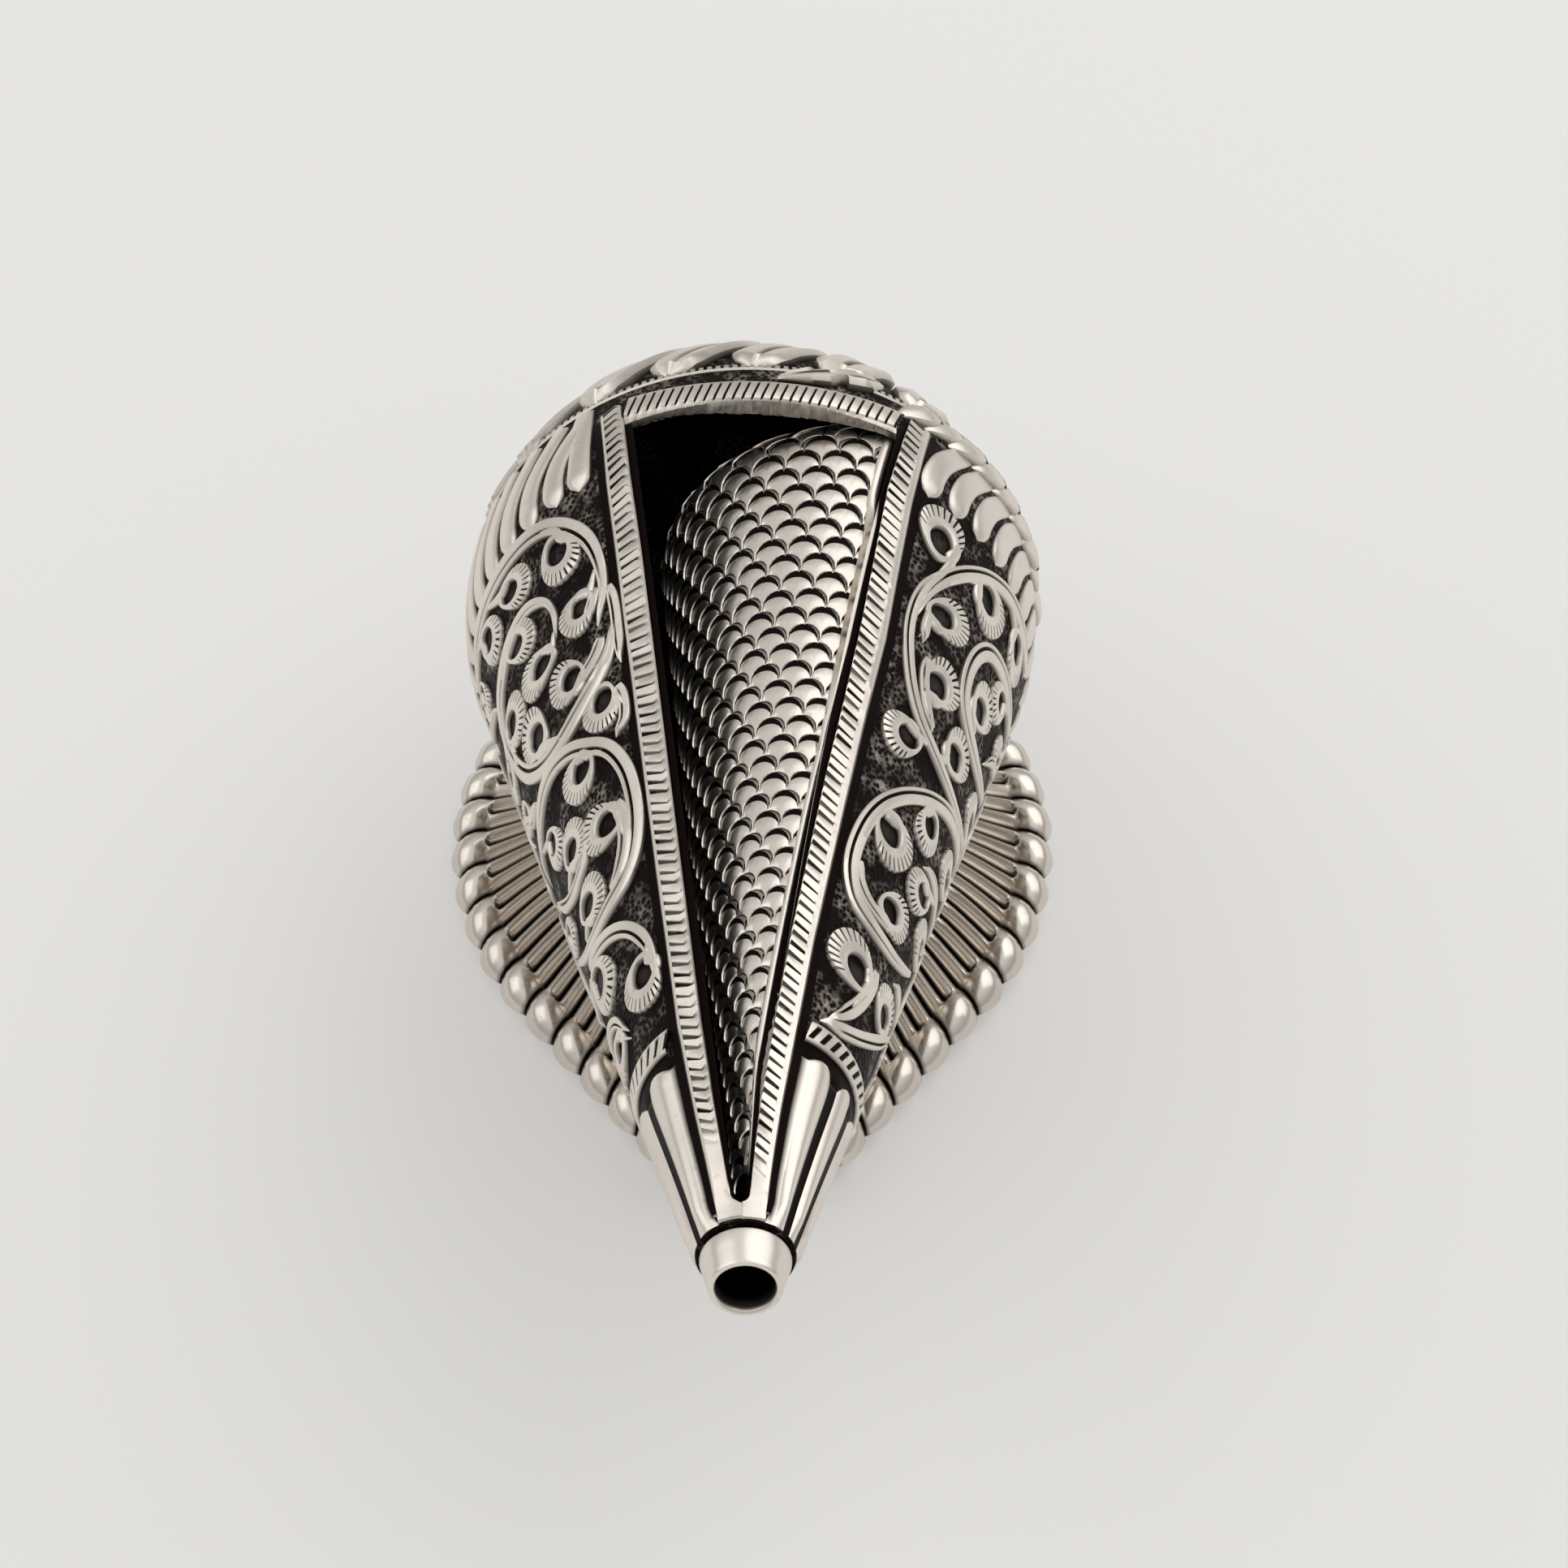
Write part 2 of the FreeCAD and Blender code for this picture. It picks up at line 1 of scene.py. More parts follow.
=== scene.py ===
"""The looks of a chased silver conch on its gadrooned stand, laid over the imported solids."""

import math
import random

import bmesh
import bpy
from mathutils import Matrix, Vector
from mathutils.geometry import interpolate_bezier


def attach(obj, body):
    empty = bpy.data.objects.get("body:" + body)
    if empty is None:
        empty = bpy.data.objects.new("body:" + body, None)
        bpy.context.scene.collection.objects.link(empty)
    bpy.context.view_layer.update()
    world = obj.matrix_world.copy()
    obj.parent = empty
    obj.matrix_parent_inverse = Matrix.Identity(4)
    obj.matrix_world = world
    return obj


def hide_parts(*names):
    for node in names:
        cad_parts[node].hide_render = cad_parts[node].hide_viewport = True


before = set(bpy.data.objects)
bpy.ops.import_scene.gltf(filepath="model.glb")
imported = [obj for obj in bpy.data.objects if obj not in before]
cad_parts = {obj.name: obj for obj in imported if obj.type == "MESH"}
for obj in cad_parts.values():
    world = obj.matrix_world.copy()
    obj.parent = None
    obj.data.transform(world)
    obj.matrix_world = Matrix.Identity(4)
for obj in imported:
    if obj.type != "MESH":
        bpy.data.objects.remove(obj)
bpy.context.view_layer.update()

bl_info = {
    "name": "Chased silver conch",
    "version": (1, 0, 0),
    "blender": (4, 5, 0),
    "location": "View3D > Sidebar > Conch",
    "description": "Chased relief, scales, petals and gadroons of a silver conch and its stand",
    "category": "Object",
}

MM = 0.001
# Edges that turn by more than this stay sharp
SHARP_ANGLE = math.radians(38)

# The shell's own form, in millimetres and degrees, as the solids have it. Places on the shell are
# given as (angle round the axis, clockwise from straight up seen from the spout's far end; distance
# along the axis towards the spout, from the widest place).
BELLY = 32.0
CONE = math.radians(15.3)
TILT = math.radians(10.6)
AXIS_HEIGHT = 42.0
SHELL_BACK = 30.8
WALL = 0.9
SEAM = -4.5
SLEEVE_START, SLEEVE_END = 82.0, 103.0
MOUTH_TOP, MOUTH_END = 2.0, 100.8
MOUTH_LEFT, MOUTH_RIGHT = 13.0, 16.3
SLIT_LEFT, SLIT_RIGHT = 1.1, 0.4
MOUTH_BOW = 1.25
# The mouth's two side strips as they were laid: distance along, inner edge from the middle plane, width
STRIPS = {
    "left": ((-2, 14.3, 2.4), (10, 13.0, 2.65), (20, 11.65, 2.75), (40, 9.3, 2.7), (60, 6.95, 2.6), (80, 4.55, 2.4),
             (90, 3.1, 2.05), (95, 2.3, 1.85), (103, 1.05, 1.55)),
    "right": ((-2, 18.0, 2.3), (6, 16.3, 2.55), (11, 15.05, 2.8), (20, 13.6, 2.75), (30, 11.95, 2.8),
              (40, 10.1, 2.55), (50, 8.1, 2.6), (60, 6.3, 2.5), (70, 4.5, 2.42), (80, 2.9, 2.38), (90, 1.4, 2.2),
              (95, 0.9, 2.0), (103, 0.2, 1.7)),
}
# The channels beside the strips: width, how much narrower on the spout and where, how much wider at the top right
# and how far down, where they start to round off, how far they still go, and where they end
CHANNEL_WIDTH, CHANNEL_NARROWS, CHANNEL_NARROWING = 0.75, 0.25, (84, 98)
CHANNEL_WIDENS, CHANNEL_WIDENING = 0.3, 22
CHANNEL_ROUND, CHANNEL_REST = 100.6, 1.4
CHANNEL_END = CHANNEL_ROUND + CHANNEL_REST
# Where the roll's border climbs to the shell's skin beside the right strip, and where it goes back to the roll
CLIMB, DESCENT = (12, 16), (42, 32)
# The black lines between the petals of the spout, in degrees round it
PETAL_LINES = (58.0, 82.5, 110.0, 137.0, 164.0, 191.0, 218.0, 247.0, 287.0)
# Each whorl: where it starts and ends along the axis, its radius there and the radius of its swell
WHORLS = ((-4.5, 31.18, -20.0, 21.3, 24.0), (-20.0, 20.8, -31.0, 11.5, 19.0), (-31.0, 11.0, -40.0, 4.6, 15.0))
# The roll inside the mouth
ROLL_ROOM = 30.95
ROLL_SHARE = 0.57
# How much of its share the roll gives up towards the slit, and where
ROLL_DRAWN, ROLL_DRAWING = 0.07, (60, 90)
ROLL_LEAN = math.radians(36)
# Where the roll starts to round off under the shoulder and how far it still goes
ROLL_ROUND, ROLL_REST = 5.0, 7.0
ROLL_END = 98.6
# The stand: half width, reach to the front, radius of the sides, radius of the nose, shift forwards
STAND_Y = 30.5
STAND_RIM = (34.6, 52.2, 43.0, 12.0, 0.0)
STAND_SEAT = (14.0, 22.0, 17.0, 7.0, 17.5)


def linear(code):
    """A colour written as an sRGB hex code, in linear light."""
    shares = [int(code[i : i + 2], 16) / 255 for i in (0, 2, 4)]
    return [c / 12.92 if c <= 0.04045 else ((c + 0.055) / 1.055) ** 2.4 for c in shares]


def user_length(name, description, millimetres):
    """A length that a user may change."""
    return bpy.props.FloatProperty(name=name, description=description, default=millimetres * MM, unit="LENGTH")


def user_colour(name, description, code):
    """A colour that a user may change."""
    return bpy.props.FloatVectorProperty(name=name, description=description, subtype="COLOR", default=linear(code))


class ConchSizes(bpy.types.PropertyGroup):
    """Sizes of the chasing on the shell."""

    relief: user_length("Relief", "Height of the scrolls above the ground", 0.5)
    lip_height: user_length("Lip height", "Height of the mouth's strips", 0.7)
    hatch_pitch: user_length("Hatch pitch", "Step between the nicks of the side strips", 1.25)
    milling_pitch: user_length("Milling pitch", "Step of the milled strip over the mouth", 1.05)
    scale_width: user_length("Scale width", "Width of a scale at the shoulder", 3.9)
    scale_row: user_length("Scale row", "Step between two rows of scales", 2.35)
    lobe_count: bpy.props.IntProperty(
        name="Shoulder lobes", description="Lobes round the shoulder", default=39, min=3)
    whorl_leaves: bpy.props.IntProperty(
        name="Whorl leaves", description="Leaves on the first whorl", default=20, min=3)


class StandSizes(bpy.types.PropertyGroup):
    """Sizes of the gadroons on the stand."""

    gadroons: bpy.props.IntProperty(name="Gadroons", description="Gadroons round the foot", default=44, min=8)
    swell: user_length("Swell", "How far a gadroon's bulb stands out", 1.4)
    split_depth: user_length("Split depth", "How deep the slots of the flutes go below their ridges", 0.4)


class ConchFinishes(bpy.types.PropertyGroup):
    """Colours of the silver, its tarnish and the stage."""

    polished: user_colour("Polished", "Burnished silver", "E9E1D7")
    # The dark of the blackened lines, which also paints the shade in the mouth, its slit and the ferrule's bore
    tarnish_and_shade: user_colour("Tarnish", "Blackened lines", "17110F")
    ground: user_colour("Ground", "Blackened ground", "17110F")
    glint: user_colour("Glint", "Rubbed points of the ground", "B4AAA0")
    cast: user_colour("Stand", "Silver of the stand", "E2DAD0")
    cast_tarnish: user_colour("Stand tarnish", "Brown tarnish between the gadroons", "2A241E")
    floor: user_colour("Floor", "Pale floor", "EDECEA")


# Places on the shell


def conch_point(x, along, up):
    """A point of the conch in the row frame: x to the right, along towards the spout, up from the axis."""
    y = SHELL_BACK - along * math.cos(TILT) + up * math.sin(TILT)
    z = AXIS_HEIGHT + along * math.sin(TILT) + up * math.cos(TILT)
    return Vector((x, y, z)) * MM


def skin_radius(along, lift=0.0):
    """Radius of the skin, or of a skin lifted off it, at a distance towards the spout."""
    ball = BELLY + lift
    if along >= ball * math.sin(CONE):
        return (ball / math.sin(CONE) - along) * math.tan(CONE)
    if along >= SEAM:
        return math.sqrt(ball**2 - along**2)
    for start, first, end, last, swell in WHORLS:
        if along >= end - 1e-6:
            break
    chord = Vector((end - start, last - first))
    way = chord.normalized()
    out = Vector((way.y, -way.x))
    hub = Vector((start, first)) + chord / 2 - out * math.sqrt(swell**2 - chord.length_squared / 4)
    return hub.y + math.sqrt(max((swell + lift) ** 2 - (along - hub.x) ** 2, 0))


def shell_point(angle, along, lift=0.0):
    """A place on the shell, or lifted off it."""
    radius, turn = skin_radius(along, lift), math.radians(angle)
    return conch_point(radius * math.sin(turn), along, radius * math.cos(turn))


def plan_point(x, along, lift):
    """A place over the upper side of the shell, by its distance from the middle plane."""
    radius = skin_radius(along, lift)
    return conch_point(x, along, math.sqrt(radius**2 - x**2))


def steps_in_mm(along):
    """Millimetres on the skin for a degree round it and for a millimetre along the axis."""
    fall = (skin_radius(along + 0.2) - skin_radius(along - 0.2)) / 0.4
    return math.radians(skin_radius(along)), math.hypot(1, fall)


def mouth_edge(side, along):
    """How far the mouth's edge is from the middle plane, and on which side."""
    share = (along - MOUTH_TOP) / (MOUTH_END - MOUTH_TOP)
    if side == "left":
        return -(MOUTH_LEFT + (SLIT_LEFT - MOUTH_LEFT) * share)
    return MOUTH_RIGHT + (SLIT_RIGHT - MOUTH_RIGHT) * share - MOUTH_BOW * 4 * share * (1 - share)


def eased(value, start, end):
    """How far a value is on its way from a start to an end, from 0 to 1."""
    return min(1, max(0, (value - start) / (end - start)))


def strip(side, along):
    """How far a side strip's inner and outer edge are from the middle plane."""
    for (start, inner, width), (end, next_inner, next_width) in zip(STRIPS[side], STRIPS[side][1:]):
        if along <= end:
            break
    share = (along - start) / (end - start)
    edge = inner + (next_inner - inner) * share
    return edge, edge + width + (next_width - width) * share


def channel(side, along):
    """Width of the black channel outside a side strip: wider at the top of the right one, narrower on the spout and
    round at its end."""
    width = CHANNEL_WIDTH - CHANNEL_NARROWS * eased(along, *CHANNEL_NARROWING)
    if side == "right":
        width += CHANNEL_WIDENS * max(0, 1 - along / CHANNEL_WIDENING)
    return width * math.sqrt(max(0, 1 - (max(along - CHANNEL_ROUND, 0) / CHANNEL_REST) ** 2))


def climbed(along):
    """How far the roll's border has climbed to the shell's skin, from 0 to 1."""
    return eased(along, *CLIMB) * eased(along, *DESCENT)


def lip_angle(side, along, beyond=0.0):
    """The angle of a strip's outer edge, or of a line beyond it."""
    turn = math.degrees(math.asin((strip(side, along)[1] + beyond) / skin_radius(along)))
    return -turn if side == "left" else turn


AXIS_START = conch_point(0, 0, 0)
AXIS_WAY = (conch_point(0, 1, 0) - AXIS_START).normalized()


def axis_near(point):
    """The point of the conch's axis nearest to a point."""
    return AXIS_START + AXIS_WAY * (point - AXIS_START).dot(AXIS_WAY)


# Mesh helpers


def new_mesh():
    """An empty mesh whose corners carry how dark they are: real blackening, and painted shade in the mouth, its slit
    and the ferrule's bore.
    """
    bm = bmesh.new()
    bm.verts.layers.float.new("patina_and_shade")
    return bm


def sheet(bm, across, along, place, hub=axis_near):
    """A grid of cells whose corners place(column, row) puts, with their darkness (blackening or painted shade), facing
    away from the hub.
    """
    patina_and_shade = bm.verts.layers.float["patina_and_shade"]
    corners = bmesh.ops.create_grid(bm, x_segments=across, y_segments=along, size=1.0)["verts"]
    for corner in corners:
        column, row = round((corner.co.x + 1) / 2 * across), round((corner.co.y + 1) / 2 * along)
        corner.co, corner[patina_and_shade] = place(column, row)
    faces = list({face for corner in corners for face in corner.link_faces})
    facing = 0.0
    for face in faces:
        face.normal_update()
        middle = face.calc_center_median()
        facing += face.normal.dot(middle - hub(middle)) * face.calc_area()
    if facing < 0:
        bmesh.ops.reverse_faces(bm, faces=faces)


def turned(bm, profile, steps):
    """Spins a closed outline of (along, radius, darkness, which is blackening or painted shade) round the conch's axis.
    """
    patina_and_shade = bm.verts.layers.float["patina_and_shade"]
    corners = []
    for along, radius, dark in profile:
        corner = bm.verts.new(conch_point(0, along, radius))
        corner[patina_and_shade] = dark
        corners.append(corner)
    edges = [bm.edges.new(pair) for pair in zip(corners, corners[1:])]
    bmesh.ops.spin(
        bm, geom=corners + edges, cent=AXIS_START, axis=AXIS_WAY, angle=2 * math.pi, steps=steps, use_merge=True)
    bmesh.ops.remove_doubles(bm, verts=bm.verts, dist=1e-6)
    bmesh.ops.recalc_face_normals(bm, faces=bm.faces)


def finished(name, bm, material, *nodes, body="conch", slot="polished_silver"):
    """Turns a mesh into a piece with its material, the body that it rides on and the nodes it stands for."""
    bmesh.ops.remove_doubles(bm, verts=bm.verts, dist=1e-6)
    bmesh.ops.dissolve_degenerate(bm, edges=bm.edges, dist=1e-7)
    mesh = bpy.data.meshes.new(name)
    bm.to_mesh(mesh)
    bm.free()
    mesh.shade_smooth()
    mesh.set_sharp_from_angle(angle=SHARP_ANGLE)
    mesh.materials.append(bpy.data.materials[material])
    piece = bpy.data.objects.new(name, mesh)
    bpy.context.scene.collection.objects.link(piece)
    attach(piece, body)
    if nodes:
        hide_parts(*nodes)
    return piece


def smooth_line(points, step):
    """Places on a smooth line through the points, about a step of millimetres apart on the shell."""
    points = [Vector(point) for point in points]
    ends = [points[0] * 2 - points[1], *points, points[-1] * 2 - points[-2]]
    line = []
    for before, here, there, after in zip(ends, ends[1:], ends[2:], ends[3:]):
        wide, long = steps_in_mm(here.y)
        run = math.hypot((there.x - here.x) * wide, (there.y - here.y) * long)
        count = max(3, round(run / step) + 1)
        line += interpolate_bezier(here, here + (there - before) / 6, there - (after - here) / 6, there, count)[:-1]
    return [*line, points[-1]]


# Sections of a chased line: place across from -1 to 1, share of the height, tarnish
STEM = (
    (-1.0, 0.0, 0.9), (-0.96, 0.8, 0.2), (-0.84, 1.0, 0.0), (-0.2, 1.0, 0.0), (0.1, 0.97, 0.05), (0.17, 0.2, 1.0),
    (0.42, 0.2, 1.0), (0.49, 0.95, 0.05), (0.82, 0.97, 0.0), (0.96, 0.75, 0.2), (1.0, 0.0, 0.9),
)
PLAIN = (
    (-1.0, 0.0, 0.9), (-0.96, 0.55, 0.3), (-0.8, 0.85, 0.0), (-0.4, 0.97, 0.0), (0.0, 1.0, 0.0), (0.4, 0.97, 0.0),
    (0.8, 0.85, 0.0), (0.96, 0.55, 0.3), (1.0, 0.0, 0.9),
)
LEAF = (
    (-1.0, 0.0, 0.9), (-0.95, 0.55, 0.3), (-0.6, 0.97, 0.0), (-0.16, 0.85, 0.1), (-0.07, 0.3, 1.0), (0.07, 0.3, 1.0),
    (0.16, 0.85, 0.1), (0.6, 0.97, 0.0), (0.95, 0.55, 0.3), (1.0, 0.0, 0.9),
)


def strand(bm, points, half_width, height, section, step=0.7):
    """A raised line along a smooth path on the shell; half_width(share) and height(share) shape it."""
    line = smooth_line(points, step)
    last = len(line) - 1

    def place(column, row):
        here, before, after = line[row], line[max(row - 1, 0)], line[min(row + 1, last)]
        wide, long = steps_in_mm(here.y)
        way = Vector(((after.x - before.x) * wide, (after.y - before.y) * long)).normalized()
        side, rise, dark = section[column]
        if dark == 1.0:
            open_share = min(eased(row / last, 0.1, 0.22), eased(row / last, 0.9, 0.78))
            rise, dark = 1 - (1 - rise) * open_share, open_share
        off = Vector((-way.y, way.x)) * side * half_width(row / last)
        lift = rise * height(row / last)
        return shell_point(here.x + off.x / wide, here.y + off.y / long, lift), dark

    sheet(bm, len(section) - 1, last, place)


def tapered(width, first=0.15, last=0.3):
    """Half the width of a stem that comes to a point at both ends."""
    return lambda share: width / 2 * (0.1 + 0.9 * min(1, (share / first) ** 0.7, ((1 - share) / last) ** 0.7))


def low_ended(height):
    """The height of a line that sinks at its very ends."""
    return lambda share: height * min(1, 0.05 + share / 0.04, 0.05 + (1 - share) / 0.04)


def swelling(height):
    """The height of a leaf that swells from both ends."""
    return lambda share: height * (0.05 + 0.95 * math.sin(math.pi * min(1, max(0, share)) ** 0.8) ** 0.6)


# One hatch on a bud: ridge, edge, nick, edge; and which of these four steps lie in the nick, here and on the strips
HATCH_STEPS = (0.0, 0.60, 0.66, 0.92)
IN_NICK = (2, 3)
# How far a bud's hollow lies behind its middle, as a share of its length
HOLLOW_BACK = 0.135
# Rings of a bud from its hollow outwards: share from the hollow's edge to the outline, height, tarnish, in a nick
BUD_RINGS = (
    (-1.0, 0.12, 0.94, False), (-0.45, 0.08, 0.97, False), (-0.1, 0.1, 1.0, False), (0.0, 0.8, 0.5, False),
    (0.06, 1.0, 0.0, False), (0.4, 1.0, 0.0, False), (0.45, 1.0, 0.0, True), (0.92, 0.95, 0.0, True),
    (0.955, 0.85, 0.1, False), (1.0, 0.0, 0.9, False),
)


def bud(bm, at, turn, length, breadth, tail, height, hatches=24):
    """A bud round a dark hollow, thin at its stem and broad at its hatched head, which points along turn.
    Its tail leaves the side of the ring and runs into the stem."""
    heading = math.radians(turn)
    wide, long = steps_in_mm(at[1])

    def chart(spot):
        spot = Vector(spot)
        spot.rotate(Matrix.Rotation(heading, 2))
        return at[0] + spot.x / wide, at[1] + spot.y / long

    def outline(angle):
        fore = math.cos(angle)
        return Vector((length / 2 * fore, breadth / 2 * math.sin(angle) * (0.96 + 0.28 * fore)))

    def rim(angle):
        return Vector((length * (0.26 * math.cos(angle) - HOLLOW_BACK), breadth * 0.26 * math.sin(angle)))

    def place(column, row):
        hatch, step = divmod(column, 4)
        angle = 2 * math.pi * (hatch + HATCH_STEPS[step]) / hatches
        share, rise, dark, nicked = BUD_RINGS[row]
        aim = outline(angle) if share >= 0 else Vector((-HOLLOW_BACK * length, 0))
        spot = rim(angle).lerp(aim, abs(share))
        if step in IN_NICK and math.cos(angle) > 0.05:
            if nicked:
                rise, dark = 0.7, 0.95
            elif share > 0.5:
                spot *= 0.97
        return shell_point(*chart(spot), rise * height), dark

    sheet(bm, 4 * hatches, len(BUD_RINGS) - 1, place)
    root = Vector(((tail[0][0] - at[0]) * wide, (tail[0][1] - at[1]) * long))
    root.rotate(Matrix.Rotation(-heading, 2))
    leaves = math.atan2(root.y / breadth, root.x / length)
    back = math.copysign(1, leaves)
    ring = [leaves - back * math.radians(ahead) for ahead in (80, 50, 22)]
    path = [chart(0.42 * outline(angle) + 0.5 * rim(angle)) for angle in ring[:1]]
    path += [chart(0.6 * outline(angle) + 0.36 * rim(angle)) for angle in ring[1:]]
    strand(bm, [*path, *tail], tapered(0.3 * breadth, 0.35, 0.8), low_ended(0.97 * height), PLAIN)


# The chased scrolls, as listed paths: (width, places on the shell)
LEFT_STEMS = (
    (2.8, ((-96, 11.5), (-80, 9.6), (-64, 9.2), (-51, 9.7), (-43, 11.8), (-37.3, 15.5), (-35.2, 20),
           (-35.8, 24), (-39, 27))),
    (1.8, ((-33.6, 22.5), (-33.2, 26), (-33.6, 30), (-34.2, 33.2))),
    (2.9, ((-34, 27), (-36.5, 31), (-42, 33.6), (-50, 35.6), (-59, 36.8), (-69, 36.4), (-78, 33.8), (-84, 29.5),
           (-86, 24.8), (-82.5, 21.2), (-75, 19.3), (-66, 17.9), (-58, 17.6), (-52, 19.3), (-50.3, 22), (-52.5, 24.8))),
    (2.0, ((-37.5, 28.6), (-41, 30.7), (-45.5, 32), (-50, 33))),
    (1.8, ((-37.2, 22), (-39, 24), (-42, 25.8))),
    (2.7, ((-99, 43), (-90, 40.8), (-79, 38.9), (-68, 38.1), (-58, 38.9), (-50, 40.6), (-43, 42.8), (-38.7, 46.2),
           (-37.4, 50), (-38.3, 53.7), (-42, 57), (-49, 59.2), (-59, 60.3), (-70, 60.8), (-82, 60.3), (-92, 58.2),
           (-101, 55))),
    (2.6, ((-43.6, 49.2), (-42.7, 52), (-44, 55), (-48.5, 57.5), (-56, 59.2))),
    (2.1, ((-59.5, 50.4), (-66, 52.5), (-76, 53.1), (-86, 51.4), (-95, 47.5))),
    (2.4, ((-86, 61.9), (-73, 62.4), (-61, 63.3), (-52, 64.8), (-46, 66.9), (-42.8, 69.6), (-43, 72.5))),
    (1.7, ((-101, 66), (-92, 63.5), (-84, 62.6))),
    (1.8, ((-36, 35.5), (-35, 38), (-36, 40.5), (-40, 41.8))),
    (1.8, ((-101, 31), (-94, 33.8), (-88, 36.8), (-80, 37.6))),
    (1.7, ((-101, 71), (-90, 70.3), (-78, 71.6), (-70, 74.5))),
    (1.6, ((-100, 16), (-92, 17.5), (-84, 19.6))),
)
# (place, heading of the hatched head, length, breadth, places of the tail)
LEFT_BUDS = (
    ((-51.5, 31), 195, 6.2, 5.6, ((-45.5, 32.2), (-40.5, 31.6))),
    ((-43.5, 24), 140, 5.8, 5.0, ((-39, 22.3), (-36, 19.5))),
    ((-60.5, 26), 178, 7.6, 5.0, ((-54, 25.8), (-51, 23.2))),
    ((-56, 43), 150, 6.2, 5.6, ((-51, 41.6), (-45.5, 42.2))),
    ((-67, 49), -25, 6.0, 5.4, ((-73, 50.6), (-80, 52.5))),
    ((-67, 57), -8, 6.2, 5.4, ((-74, 58.4), (-80, 60))),
    ((-78, 45.2), 70, 5.8, 4.8, ((-82, 43), (-90, 41.4))),
    ((-86, 74.6), 165, 6.0, 4.6, ((-78, 74), (-70, 75.5))),
    ((-92, 54), 60, 5.2, 4.6, ((-97, 52), (-101, 49))),
    ((-90, 14.5), 90, 5.4, 4.4, ((-92, 12), (-97, 11.5))),
    ((-92, 34), 210, 5.0, 4.2, ((-86, 36), (-80, 37.2))),
    ((-76.5, 25.8), 15, 7.0, 5.8, ((-83, 27), (-84.5, 30))),
    ((-69.5, 31.8), 235, 7.2, 6.4, ((-65, 35), (-58, 36.4))),
    ((-45.3, 15.4), 80, 6.8, 6.0, ((-45, 11.6), (-50, 10.3))),
    ((-64, 20), 20, 6.8, 5.0, ((-71, 18.6), (-77, 19.8))),
    ((-60.5, 13.3), 20, 6.8, 5.2, ((-67.5, 11.4), (-73, 9.9))),
    ((-75, 13.6), 50, 6.8, 5.8, ((-80, 11), (-85, 10))),
    ((-42.3, 37.4), 115, 6.0, 5.2, ((-37, 37), (-34.6, 39))),
    ((-51.8, 51.1), 195, 7.0, 5.8, ((-44.6, 51), (-43.6, 54.5))),
    ((-51, 71.8), 115, 6.6, 5.8, ((-45.4, 70), (-43.2, 67.6))),
    ((-78.5, 65.9), 55, 7.6, 6.4, ((-86, 63.4), (-94, 62.6))),
    ((-93, 27), 150, 5.8, 4.8, ((-89, 24.5), (-86, 22.5))),
)
RIGHT_STEMS = (
    (1.9, ((49.5, 14.5), (47, 17), (43.4, 20), (41.5, 23), (41.2, 26.5), (42.8, 30), (46, 33.4), (51, 36.2),
           (58, 37.9), (67, 39.1), (78, 39.4), (90, 38.5), (100, 37))),
    (2.6, ((92, 9.6), (80, 9.2), (70, 9.6), (62, 11.2), (56, 13.3), (50.5, 16), (46.5, 18.8), (44, 21.6),
           (42.2, 25))),
    (2.9, ((101, 16), (90, 17), (78, 17.5), (69.5, 18.8), (64.8, 21.5), (63.4, 25), (65.3, 28.3), (71, 30.3),
           (80, 30.9), (90, 30), (101, 27.5))),
    (1.8, ((48.5, 28), (49, 31), (52, 34), (57, 36.3))),
    (1.7, ((46.2, 22.5), (45.8, 25), (46.5, 27))),
    (2.6, ((101, 39.8), (88, 40.2), (76, 41.2), (66, 43), (58, 45), (51, 47.2), (45, 49.8), (40.6, 53.1), (38.3, 57),
           (39, 60), (43, 62.4), (50, 63.6), (60, 64.2), (72, 63.9), (84, 62.2), (96, 59.2))),
    (1.7, ((40.8, 57.4), (43, 60), (48.5, 61.6), (56, 62.2), (64, 62.4))),
    (2.4, ((63, 67.4), (63, 70.3), (59, 73.2), (51.5, 75.8), (43, 77.6))),
    (2.1, ((39, 78.2), (52, 77.8), (66, 76.4), (80, 73.9), (92, 70.8), (101, 67.6))),
    (1.7, ((101, 51.5), (90, 49.8), (80, 49.6), (72, 50.4))),
    (1.6, ((101, 66), (90, 65), (80, 65.2))),
    (1.6, ((101, 22), (92, 24.5), (86, 28))),
)
